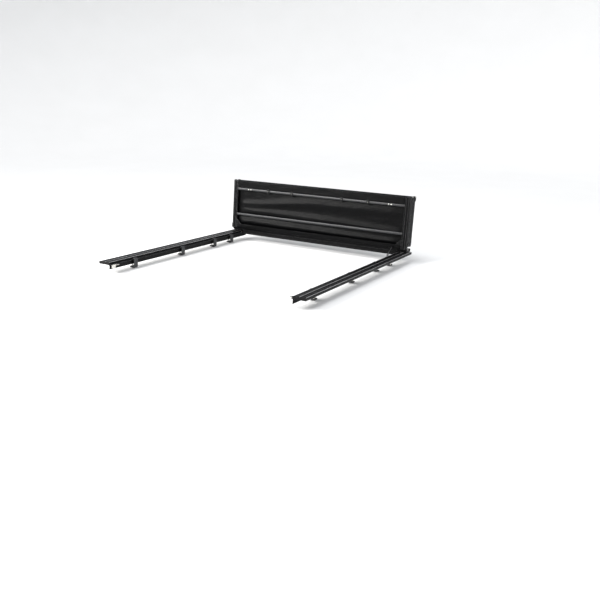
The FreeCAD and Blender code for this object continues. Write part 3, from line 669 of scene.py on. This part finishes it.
def hang_vinyl(thing, held):
    """Let the slack vinyl hang with a cloth simulation, held on its frame."""
    group = thing.vertex_groups.new(name="held")
    group.add(held, 1.0, "REPLACE")
    cloth = thing.modifiers.new("hang", "CLOTH")
    for name, value in CLOTH.items():
        setattr(cloth.settings, name, value)
    cloth.settings.vertex_group_mass = "held"
    cloth.collision_settings.use_collision = False
    cloth.point_cache.frame_start = 1
    cloth.point_cache.frame_end = SIM_FRAMES
    scene = bpy.context.scene
    for step in range(1, SIM_FRAMES + 1):
        scene.frame_set(step)
    apply_modifiers(thing)
    scene.frame_set(1)
    thing.vertex_groups.clear()


def panel_vinyl(number):
    """The vinyl over one panel: glued flat to the frame, slack and folded inside it."""
    place = PLACES[number]
    columns, rows = (150, 70) if number == 1 else (110, 46)
    start, end = END_GAP - GLUE_REACH, place.pitch - END_GAP + GLUE_REACH
    middle = place.top - VINYL_THICK / 2
    edge = HALF_WIDTH - GLUE_REACH
    xs = [-edge + 2 * edge * c / (columns - 1) for c in range(columns)]
    ss = [start + (end - start) * r / (rows - 1) for r in range(rows)]
    marks = bay_edges(number)
    ss = sorted(set(ss) | set(marks))
    xs = sorted(set(xs) | {-INNER_HALF, INNER_HALF})
    points, held = [], []
    for s in ss:
        row = []
        for x in xs:
            if held_on_frame(number, x, s):
                held.append(len(points) * len(xs) + len(row))
            row.append(place.point(x, s, middle - slack(number, x, s)))
        points.append(row)
    sheet = grid_object(f"panel_{number}_vinyl", points)
    hang_vinyl(sheet, held)
    for vertex in sheet.data.vertices:
        along = (vertex.co - place.origin).dot(place.along)
        vertex.co -= place.up * set_folds(number, vertex.co.x, along)
    keep_inside(sheet, place, number)
    thicken(sheet, VINYL_THICK)
    paint(sheet, "vinyl")
    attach(sheet, place.body)
    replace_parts(sheet, f"panel_{number}_skin")


def keep_inside(sheet, place, number):
    """Hold the vinyl between its own top plane and the bows, or the underside between the bows."""
    lowest = place.top - PANEL_THICK + 0.0030
    bow_top = place.top - PANEL_THICK + MID_BOW_HIGH + 0.0010
    ceiling = place.top - VINYL_THICK / 2
    marks = bay_edges(number)
    for vertex in sheet.data.vertices:
        offset = vertex.co - place.origin
        along, height = offset.dot(place.along), offset.dot(place.up)
        floor = lowest
        for bow in bows_of(number):
            reach = abs(along - bow) - MID_BOW_WIDE / 2
            floor = max(floor, bow_top - (bow_top - lowest) * smooth_step(reach / 0.040))
        for reach in (along - marks[0], marks[-1] - along, INNER_HALF - abs(offset.x)):
            floor = max(floor, ceiling - 0.8 * max(0.0, reach))
        wanted = min(ceiling, max(floor, height))
        vertex.co += place.up * (wanted - height)


# ---- hems and fold strips ----


def hem(name, number, corner, reach, turn):
    """A band of vinyl that wraps one end bow and lies along the underside to reach.

    corner is where the panel ends; turn is 1 at its rear end and -1 at its front end.
    """
    place = PLACES[number]
    skin = VINYL_THICK / 2
    top, low = place.top - skin, place.top - PANEL_THICK - skin
    outer = corner + turn * skin
    radius = HEM_RADIUS
    section = [(corner - turn * HEM_START, top + 0.0001)]
    steps = 5
    for i in range(steps + 1):
        a = math.pi / 2 * i / steps
        section.append((outer - turn * radius * (1 - math.sin(a)), top - radius * (1 - math.cos(a))))
    for i in range(steps + 1):
        a = math.pi / 2 * i / steps
        section.append((outer - turn * radius * (1 - math.cos(a)), low + radius * (1 - math.sin(a))))
    flat_from = outer - turn * radius
    for i in range(1, 25):
        section.append((flat_from + (reach - flat_from) * i / 24, low))
    columns = 180
    half = INNER_HALF - 0.0015
    points = []
    for r, (s, height) in enumerate(section):
        row = []
        for c in range(columns):
            x = -half + 2 * half * c / (columns - 1)
            inside = smooth_step((r - 12) / 8) * smooth_step((len(section) - 1 - r) / 3)
            edge = smooth_step((half - abs(x)) / 0.05)
            pucker = noise.noise(Vector((x * 7.0, s * 16.0, number + 0.3)))
            fine = noise.noise(Vector((x * 22.0, s * 9.0, number + 5.1)))
            lift = (0.0012 * pucker + 0.0005 * fine - 0.0002) * inside * edge
            row.append(place.point(x, s, height + lift))
        points.append(row)
    band = grid_object(name, points)
    thicken(band, VINYL_THICK)
    paint(band, "vinyl")
    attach(band, place.body)


def across_points(path, width, columns=90):
    """Each point of a path spread out across the cover, from -width to width."""
    xs = [-width + 2 * width * c / (columns - 1) for c in range(columns)]
    return [[point + Vector((x, 0, 0)) for x in xs] for point in path]


def fold_strip(name, hinge, first, last, tails, width, layers=7):
    """Vinyl across a hinge: two tails joined by an arc about the hinge axis.

    first and last are pairs of unit vectors: away from the hinge along the vinyl, and from the axis to
    it. The arc lies at the fold gap from the axis.
    """
    axis = Vector((0, hinge[1], hinge[2]))
    along_a, to_a = first
    along_b, to_b = last
    radius = FOLD_GAP + 0.0002
    angle = to_a.angle(to_b)
    path = [axis + to_a * radius + along_a * (tails[0] * (1 - i / 4)) for i in range(4)]
    weights = [0.0] * 4
    halfway = Matrix.Rotation(angle / 2, 3, ACROSS) @ to_a
    way = 1 if halfway.dot(along_a) < 0 else -1
    for i in range(layers + 1):
        share = i / layers
        path.append(axis + Matrix.Rotation(way * angle * share, 3, ACROSS) @ to_a * radius)
        weights.append(share)
    path += [axis + to_b * radius + along_b * (tails[1] * (i + 1) / 4) for i in range(4)]
    weights += [1.0] * 4
    strip = grid_object(name, across_points(path, width))
    thicken(strip, STRIP_THICK, 1.0)
    paint(strip, "vinyl")
    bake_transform(strip)


def all_fold_strips():
    """The flexible vinyl at every hinge line."""
    one, two, link, three, four = (PLACES[key] for key in (1, 2, "link", 3, 4))
    header_along = Vector((0, 1, 0))
    tail = HINGE_TAIL
    width = HALF_WIDTH - STRIP_SHORT
    fold_strip("header_flap", JOINT_AT["stand"],
               (header_along, -UP), (one.along, -one.up), (FLAP_TAIL, tail), width)
    fold_strip("fold_12_vinyl", JOINT_AT["fold_12"],
               (-one.along, -one.up), (two.along, -two.up), (tail, tail), width)
    fold_strip("fold_34_vinyl", JOINT_AT["fold_34"],
               (-three.along, -three.up), (four.along, -four.up), (tail, tail), width)
    mountain_strip("fold_2_link_vinyl", JOINT_AT["fold_2_link"],
                   (-two.along, two.up), (link.along, link.up), width)
    mountain_strip("fold_link_3_vinyl", JOINT_AT["fold_link_3"],
                   (-link.along, link.up), (three.along, three.up), width)


def mountain_strip(name, hinge, first, last, width):
    """Vinyl round the outside of a quarter turn, level with the faces on both sides of it."""
    axis = Vector((0, hinge[1], hinge[2]))
    along_a, up_a = first
    along_b, up_b = last
    radius = 0.0008
    tail = 0.0052
    angle = up_a.angle(up_b)
    way = 1 if (Matrix.Rotation(angle, 3, ACROSS) @ up_a - up_b).length < 0.01 else -1
    path = [axis + up_a * radius + along_a * tail * (1 - i / 3) for i in range(3)]
    for i in range(6):
        path.append(axis + Matrix.Rotation(way * angle * i / 5, 3, ACROSS) @ up_a * radius)
    path += [axis + up_b * radius + along_b * tail * (i + 1) / 3 for i in range(3)]
    strip = grid_object(name, across_points(path, width))
    thicken(strip, STRIP_THICK)
    paint(strip, "vinyl")
    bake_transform(strip)


def link_vinyl():
    """The vinyl over the link's outer face."""
    place = PLACES["link"]
    columns, rows = 90, 9
    width = HALF_WIDTH - STRIP_SHORT
    start, end = HINGE_TAIL, place.pitch - HINGE_TAIL
    points = []
    for r in range(rows):
        s = start + (end - start) * r / (rows - 1)
        row = []
        for c in range(columns):
            x = -width + 2 * width * c / (columns - 1)
            swell = 0.0018 * math.sin(math.pi * r / (rows - 1))
            swell *= 1 + 0.5 * noise.noise(Vector((x * 5, s * 30, 3.3)))
            row.append(place.point(x, s, 0.0008 + swell))
        points.append(row)
    cover = grid_object("link_vinyl", points)
    thicken(cover, VINYL_THICK)
    paint(cover, "vinyl")
    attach(cover, place.body)


# ---- clips, bars, bolts, plugs and edge strips ----


def bow_clips():
    """Moulded clips that grip the upper bow and press the hem's edge."""
    place = PLACES[1]
    low = place.top - PANEL_THICK
    bow = UPPER_BOW * 1000
    outline = [
        (-18.2, 3.6), (-18.9, -2.0), (-17.6, -3.4), (-10.5, -4.3), (-3.5, -4.5), (-2.6, -5.3),
        (2.6, -5.3), (3.5, -4.5), (10.5, -4.7), (16.5, -4.5), (18.6, -3.8), (19.3, -2.6),
        (19.2, -1.3), (12.6, -1.25), (10.4, -0.1), (-10.3, -0.1), (-10.5, 3.6),
    ]
    sections = [(-12.5, 0.84), (-12.0, 0.93), (-11.0, 1.0), (11.0, 1.0), (12.0, 0.93), (12.5, 0.84)]
    verts, faces = [], []
    screws = Turned()
    for box_low, box_high in islands("bow_clips"):
        across = (box_low.x + box_high.x) / 2
        start = len(verts)
        for x, share in sections:
            for along, height in outline:
                squeezed = height * share if height < -1.0 else height
                verts.append(place.point(across + x * MM, (bow + along) * MM, low + squeezed * MM))
        faces += tube_faces(start, len(sections), len(outline))
        seat = place.point(across, UPPER_BOW, low - CLIP_FACE)
        screws.add(seat, -place.up, button_head(CLIP_SCREW, CLIP_SCREW / 2))
    clips = new_object("hem_clips", verts, faces)
    dress(clips, "plastic", 30)
    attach(clips, "panel_1")
    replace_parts(clips, "bow_clips")
    heads = screws.finish("hem_clip_screws", "zinc")
    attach(heads, "panel_1")


def crowned_bar(name, number, node, at):
    """A bar across a panel with rounded corners and a crowned face, where its CAD bow lies."""
    place = PLACES[number]
    low = place.top - PANEL_THICK
    half, high, corner, crown = MID_BOW_WIDE / 2, MID_BOW_HIGH, 3.6 * MM, 0.9 * MM
    outline = [(-half, high), (half, high)]
    for i in range(7):
        a = math.radians(15 * i)
        outline.append((half - corner + corner * math.cos(a), crown + corner * (1 - math.sin(a))))
    for i in range(1, 8):
        t = 1 - 2 * i / 8
        outline.append(((half - corner) * t, crown * t * t))
    for i in range(7):
        a = math.radians(90 - 15 * i)
        outline.append((-half + corner - corner * math.cos(a), crown + corner * (1 - math.sin(a))))
    ends = [corner_at[0] for corner_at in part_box(node)]
    path = [(place.point(x, at, low), place.along, place.up) for x in ends]
    bar = swept(name, outline, path)
    dress(bar, "bar", 40)
    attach(bar, place.body)
    return bar


def all_bars():
    for name, at in (("upper", UPPER_BOW), ("lower", LOWER_BOW)):
        node = f"panel_1_{name}_bow"
        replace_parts(crowned_bar(f"panel_1_{name}_bar", 1, node, at), node)
    for number in (2, 3, 4):
        node = f"panel_{number}_mid_bows"
        bars = [crowned_bar(f"panel_{number}_mid_bar_{i + 1}", number, node, at)
                for i, at in enumerate(MID_BOWS)]
        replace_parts(bars[0], node)


def bow_bolts():
    """Button-head bolts at the upper bow's ends, each on a washer."""
    place = PLACES[1]
    low = place.top - PANEL_THICK
    heads = Turned()
    for box_low, box_high in islands("bow_bolts"):
        across = (box_low.x + box_high.x) / 2
        heads.add(place.point(across, UPPER_BOW, low), -place.up, button_head(5.5 * MM, 3.0 * MM))
    bolts = heads.finish("bow_bolt_heads", "zinc")
    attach(bolts, "panel_1")
    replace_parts(bolts, "bow_bolts")


def rail_screws():
    heads = Turned()
    for low, high in islands("rail_screws"):
        base = Vector(((low.x + high.x) / 2, (low.y + high.y) / 2, low.z))
        heads.add(base, (0, 0, 1), button_head((high.x - low.x) / 2, high.z - low.z))
    screws = heads.finish("bracket_screw_heads", "zinc")
    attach(screws, "bed_frame")
    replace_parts(screws, "rail_screws")


def clamp_bolts():
    """Hexagon bolts through the clamps' lower arms, with threads and swivel pads above."""
    parts = Turned()
    widest = max(high.x - low.x for low, high in islands("clamp_bolts"))
    for low, high in islands("clamp_bolts"):
        middle = Vector(((low.x + high.x) / 2, (low.y + high.y) / 2, 0))
        if high.x - low.x > widest * 0.9:
            parts.add(middle + Vector((0, 0, high.z)), (0, 0, -1),
                      hexagon_head(widest / 2, high.z - low.z))
            continue
        radius, length = (high.x - low.x) / 2, high.z - low.z
        thread, turns = [], 9
        for i in range(turns):
            start = length * 0.72 * i / turns
            thread += [(radius * 0.84, start, 0), (radius * 0.99, start + length * 0.04, 0)]
        pad = [
            (radius * 0.7, length * 0.73, 0), (radius * 0.7, length * 0.78, 0),
            (radius * 1.35, length * 0.82, 0), (radius * 1.4, length * 0.97, 0),
            (radius * 1.3, length, 0), (radius * 0.1, length, 0),
        ]
        parts.add(middle + Vector((0, 0, low.z)), (0, 0, 1), thread + pad)
    bolts = parts.finish("clamp_screws", "zinc")
    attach(bolts, "bed_frame")
    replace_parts(bolts, "clamp_bolts")


def rounded_outline(wide, high, radius, steps=5):
    """Corners of a rounded rectangle centred on the origin."""
    points = []
    corners = ((1, 1, 0), (-1, 1, 90), (-1, -1, 180), (1, -1, 270))
    for side_x, side_y, start in corners:
        for i in range(steps + 1):
            a = math.radians(start + 90 * i / steps)
            points.append((
                side_x * (wide / 2 - radius) + radius * math.cos(a),
                side_y * (high / 2 - radius) + radius * math.sin(a),
            ))
    return points


def frame_plugs(number):
    """Rounded moulded plugs that close the ends of a panel's side frames."""
    place = PLACES[number]
    high = PANEL_THICK - SKIN_THICK
    centre = place.top - SKIN_THICK - high / 2
    verts, faces = [], []
    dome = [(0.0, 0.985), (0.0012, 0.985), (0.0022, 0.955), (0.0030, 0.885), (0.0035, 0.76)]
    for side in (-1, 1):
        across = side * (HALF_WIDTH - FRAME_WIDE / 2)
        for end, away in ((END_GAP, -1), (place.pitch - END_GAP, 1)):
            start = len(verts)
            for out, share in dome:
                ring = rounded_outline(FRAME_WIDE * share, high * share, 0.004 * share)
                for a, b in ring:
                    verts.append(place.point(across + a, end + away * out, centre + b))
            faces += tube_faces(start, len(dome), len(ring))
    plugs = new_object(f"panel_{number}_end_plugs", verts, faces)
    face_outwards(plugs)
    dress(plugs, "plastic", 40)
    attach(plugs, place.body)


def edge_strips(number):
    """Slim strips along a panel's sides that hold down the vinyl's wrapped edges."""
    place = PLACES[number]
    thick, tall, clear_of_hinge, below_top = 2.2 * MM, 8 * MM, 50 * MM, 7.5 * MM
    outline = rounded_outline(thick, tall, 0.9 * MM)
    for side_name, side in (("left", -1), ("right", 1)):
        x = side * (HALF_WIDTH + thick / 2 - 0.1 * MM)
        stops = (clear_of_hinge, place.pitch - clear_of_hinge)
        path = [(place.point(x, along, place.top - below_top), ACROSS, place.up) for along in stops]
        strip = swept(f"panel_{number}_{side_name}_edge_strip", outline, path)
        dress(strip, "edge_strip", 40)
        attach(strip, place.body)


# ---- side rails ----

# The rail's section as (outward, up) in millimetres. Its inner lip starts at -12.
RAIL_OUTLINE = [
    (0, -34), (4, -34), (4, 0), (100, 0), (100, 15.5), (99.3, 18.3), (97.8, 19.7), (96.2, 20.1),
    (94.8, 19.7), (94.1, 18.4), (93.8, 16.0), (90.2, 16.0), (89.9, 18.4), (89.0, 19.7),
    (87.0, 20.1), (85.0, 19.7), (84.1, 18.4), (83.8, 16.0), (80.2, 16.0), (79.9, 18.4),
    (79.2, 19.6), (77.8, 20.0), (64.4, 20.0), (62.9, 19.4), (62.2, 18.2), (62.0, 15.0),
    (52.0, 15.0), (51.8, 18.2), (51.0, 19.4), (48.6, 20.1), (46.0, 19.7), (44.0, 18.2),
    (41.0, 17.1), (34.0, 16.7), (16.0, 16.7), (11.0, 17.2), (8.6, 18.6), (6.6, 19.7), (4.4, 20.1),
    (2.2, 19.7), (0.8, 18.6), (0, 16.4), (0, 4), (-12, 4), (-12, 0), (0, 0),
]
RAIL_HIGH = 20.0
RAIL_RIDGES = ((48.2, 2.5), (96.2, 2.2), (4.4, 2.0))
RIDGE_CROWN, RIDGE_DEEP = 0.45, 1.2


def side_rails():
    """Each rail as one ribbed extrusion, with bright metal strips along its ridges as a painted
    highlight.
    """
    for side_name, side in (("left", -1), ("right", 1)):
        node = f"{side_name}_side_rail"
        low, high = (Vector(corner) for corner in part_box(node))
        inner = min(abs(low.x), abs(high.x)) + 12 * MM
        outline = [(a * MM, b * MM) for a, b in RAIL_OUTLINE]
        path = [(Vector((side * inner, y, 0)), ACROSS * side, UP) for y in (low.y, high.y)]
        rail = swept(f"{side_name}_ribbed_rail", outline, path)
        dress(rail, "rail", 34)
        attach(rail, "bed_frame")
        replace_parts(rail, node)
        # Bright strips on the ridge crowns: a painted highlight of the ridge lines.
        for number, (at, half) in enumerate(RAIL_RIDGES):
            turns = [math.pi * i / 8 for i in range(9)]
            crown = [(half * math.cos(a), RIDGE_CROWN * math.sin(a)) for a in turns]
            crown += [(-half * 0.9, -RIDGE_DEEP), (half * 0.9, -RIDGE_DEEP)]
            outline = [((at + a) * MM, (RAIL_HIGH + b) * MM) for a, b in crown]
            line = swept(f"{side_name}_rail_ridge_{number}", outline, path)
            dress(line, "ridge", 50)
            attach(line, "bed_frame")


# ---- rubber seals ----


def seal_run(name, node, body, outline, start, end, right, up, wave, steps=120):
    """A rubber section drawn out from start to end with a slight hand-laid waviness."""
    path = []
    for i in range(steps + 1):
        t = i / steps
        point = start.lerp(end, t)
        ends = smooth_step(min(t, 1 - t) * 20)
        drift = noise.noise(Vector((t * 14, wave * 900, 1.7))) * wave * ends
        lift = noise.noise(Vector((t * 22, 4.1, wave * 700))) * wave * 0.6 * ends
        path.append((point + right * drift + up * lift, right, up))
    seal = swept(name, outline, path)
    dress(seal, "rubber", 50)
    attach(seal, body)
    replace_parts(seal, node)


def rail_seals():
    """Bulb seals in the side rails' slots."""
    for side_name in ("left", "right"):
        node = f"{side_name}_rail_seal"
        low, high = (Vector(corner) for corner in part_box(node))
        wide, tall = high.x - low.x, high.z - low.z
        outline = [(-wide * 0.46, 0), (wide * 0.46, 0), (wide * 0.46, tall * 0.45)]
        for i in range(9):
            a = math.radians(-8 + 196 * i / 8)
            outline.append((wide * 0.42 * math.cos(a), tall * (0.58 + 0.38 * math.sin(a))))
        outline.append((-wide * 0.46, tall * 0.45))
        middle = (low.x + high.x) / 2
        seal_run(f"{side_name}_bulb_seal", node, "bed_frame", outline,
                 Vector((middle, low.y, low.z)), Vector((middle, high.y, low.z)),
                 ACROSS, UP, 0.00018, 160)


def header_skirt():
    """The skirt behind the header: ribbed above, thinning to a soft curved lip."""
    low, high = (Vector(corner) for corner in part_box("header_seal"))
    deep, tall = high.y - low.y, high.z - low.z
    outline = [(deep, tall), (deep * 0.35, tall)]
    for i in range(1, 12):
        t = i / 12
        rib = 0.0007 * math.sin(t * math.pi * 9)
        reach = deep * (0.30 - 0.26 * smooth_step(t)) + rib * (1 - t) + 0.0004
        outline.append((reach, tall * (1 - t)))
    outline += [(deep * 0.10, 0.0004), (deep * 0.30, 0.0)]
    outline += [(deep * 0.62, tall * 0.10), (deep, tall * 0.22)]
    seal_run("header_skirt", "header_seal", "bed_frame", outline,
             Vector((low.x, low.y, low.z)), Vector((high.x, low.y, low.z)),
             Vector((0, 1, 0)), UP, 0.0003)


def tail_bulb():
    """The tail bow's bulb seal, which meets the tailgate."""
    place = PLACES[4]
    low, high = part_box("tail_seal")
    base = place.pitch - END_GAP
    top = place.top - SKIN_THICK - 1 * MM
    outline = [(0, 0), (0, -18 * MM)]
    for i in range(11):
        a = math.radians(-90 + 180 * i / 10)
        bulge = 1 - 0.10 * math.cos(4 * a)
        outline.append((7.6 * MM * math.cos(a) * bulge + 0.2 * MM, -9 * MM + 8.9 * MM * math.sin(a)))
    start, end = place.point(low[0], base, top), place.point(high[0], base, top)
    seal_run("tail_bulb_seal", "tail_seal", "panel_4", outline, start, end,
             place.along, place.up, 0.0002)


# ---- prop rod ----


def prop_wire():
    """The prop rod as a bent wire: an eye on its pin, a slight crank and a rubber tip."""
    high = Vector(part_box("prop_rod")[1])
    pivot = Vector(JOINT_AT["prop_swing"])
    tip = Vector((pivot.x, high.y - 4 * MM, high.z - 4 * MM))
    reach = tip - pivot
    ahead = reach.normalized()
    lift = ACROSS.cross(ahead)
    radius = 3 * MM
    circle = [
        (radius * math.cos(2 * math.pi * i / 16), radius * math.sin(2 * math.pi * i / 16))
        for i in range(16)
    ]
    path = []
    for i in range(33):
        t = 0.03 + 0.95 * i / 32
        crank = 0.0022 * math.sin(math.pi * 2 * min(1, max(0, (t - 0.1) * 1.2)))
        path.append((pivot + reach * t + lift * crank, ACROSS, lift))
    wire = swept("prop_wire", circle, path)
    paint(wire, "dull_steel")
    eye = Turned()
    eye.add(pivot - ACROSS * 3.9 * MM, ACROSS, [
        (3.2 * MM, 0.0, 0), (6.4 * MM, 0.0, 0), (6.9 * MM, 0.6 * MM, 0), (6.9 * MM, 7.2 * MM, 0),
        (6.4 * MM, 7.8 * MM, 0), (3.2 * MM, 7.8 * MM, 0),
    ])
    collar = eye.finish("prop_eye", "dull_steel")
    cap = Turned()
    cap.add(tip - ahead * 16 * MM, ahead, [
        (3.3 * MM, 0, 0), (4.0 * MM, 0.6 * MM, 0), (4.0 * MM, 4 * MM, 0), (3.6 * MM, 4.6 * MM, 0),
        (4.0 * MM, 5.2 * MM, 0), (4.0 * MM, 16 * MM, 0), (3.5 * MM, 18 * MM, 0),
        (2.4 * MM, 19.4 * MM, 0), (0.3 * MM, 19.8 * MM, 0),
    ])
    end = cap.finish("prop_tip", "rubber")
    for piece, slot in ((wire, "zinc_steel"), (collar, "zinc_steel"), (end, "rubber")):
        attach(piece, "prop_rod")
    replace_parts(wire, "prop_rod")


# ---- stage, light and camera ----


def make_floor():
    """A pale floor that curves up into a rim far away, so that no horizon shows."""
    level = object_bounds()[0][2]
    rings, steps, flat_to, rim = 26, 96, 9.0, 7.0
    verts, faces = [(0, 0, level)], []
    for r in range(1, rings + 1):
        if r <= 6:
            radius, height = flat_to * r / 6, 0.0
        else:
            a = math.pi / 2 * (r - 6) / (rings - 6)
            radius, height = flat_to + rim * math.sin(a), rim * (1 - math.cos(a))
        for i in range(steps):
            a = 2 * math.pi * i / steps
            verts.append((radius * math.cos(a), radius * math.sin(a), level + height))
    for i in range(steps):
        faces.append((0, 1 + i, 1 + (i + 1) % steps))
    for r in range(rings - 1):
        for i in range(steps):
            k = (i + 1) % steps
            low, high = 1 + r * steps, 1 + (r + 1) * steps
            faces.append((low + i, high + i, high + k, low + k))
    floor = new_object("floor", verts, faces)
    floor.data.materials.append(floor_material())


def area_light(name, at, toward, width, height, power, color=(1, 1, 1)):
    data = bpy.data.lights.new(name, "AREA")
    data.shape = "RECTANGLE"
    data.size, data.size_y = width, height
    data.energy = power
    data.color = color
    light = bpy.data.objects.new(name, data)
    light.location = at
    light.rotation_euler = (Vector(toward) - Vector(at)).to_track_quat("-Z", "Y").to_euler()
    bpy.context.scene.collection.objects.link(light)


def make_lights():
    """Soft even daylight from above, and a long softbox behind the camera that draws the folds."""
    world = bpy.data.worlds.new("studio")
    world.use_nodes = True
    background = world.node_tree.nodes["Background"]
    background.inputs["Color"].default_value = (0.95, 0.97, 1.0, 1)
    background.inputs["Strength"].default_value = 0.62
    bpy.context.scene.world = world
    sun_data = bpy.data.lights.new("sky_sun", "SUN")
    sun_data.energy = 1.65
    sun_data.angle = math.radians(35)
    sun = bpy.data.objects.new("sky_sun", sun_data)
    sun.rotation_euler = (math.radians(18), math.radians(-14), 0)
    bpy.context.scene.collection.objects.link(sun)
    area_light("strip_softbox", (-3.0, -4.2, 2.35), (0, -0.1, 0.25), 3.4, 1.1, 420, (1.0, 0.99, 0.97))
    area_light("left_softbox", (-3.6, -1.2, 1.6), (0, -0.3, 0.2), 1.6, 1.2, 40, (1.0, 0.98, 0.95))
    area_light("right_fill", (3.2, -0.4, 1.6), (0.4, -0.2, 0.2), 1.4, 1.2, 30, (0.95, 0.97, 1.0))


def make_camera():
    data = bpy.data.cameras.new("camera")
    data.sensor_width = 36
    data.lens = CAMERA_LENS
    camera = bpy.data.objects.new("camera", data)
    yaw, pitch, roll = (math.radians(a) for a in (CAMERA_YAW, CAMERA_PITCH, CAMERA_ROLL))
    level = Vector((-math.sin(yaw), math.cos(yaw), 0))
    ahead = level * math.cos(pitch) - Vector((0, 0, math.sin(pitch)))
    right = Vector((math.cos(yaw), math.sin(yaw), 0))
    up = right.cross(ahead)
    tilted_right = right * math.cos(roll) + up * math.sin(roll)
    tilted_up = up * math.cos(roll) - right * math.sin(roll)
    turn = Matrix((tilted_right, tilted_up, -ahead)).transposed()
    camera.matrix_world = Matrix.Translation(CAMERA_AT) @ turn.to_4x4()
    bpy.context.scene.collection.objects.link(camera)
    bpy.context.scene.camera = camera


bpy.context.scene.view_settings.view_transform = "Standard"
make_camera()
make_lights()
paint_cad_nodes()
for panel_number in (1, 2, 3, 4):
    panel_vinyl(panel_number)
first_end = PLACES[1].pitch - END_GAP
hem("top_hem", 1, first_end, UPPER_BOW + MID_BOW_WIDE / 2 + 0.0015, 1)
hem("bottom_hem", 1, END_GAP, END_GAP + BOW_WIDE + 0.008, -1)
bow_clips()
all_bars()
bow_bolts()
rail_screws()
clamp_bolts()
for panel_number in (1, 2, 3, 4):
    frame_plugs(panel_number)
    edge_strips(panel_number)
side_rails()
rail_seals()
header_skirt()
tail_bulb()
prop_wire()
all_fold_strips()
link_vinyl()
make_floor()
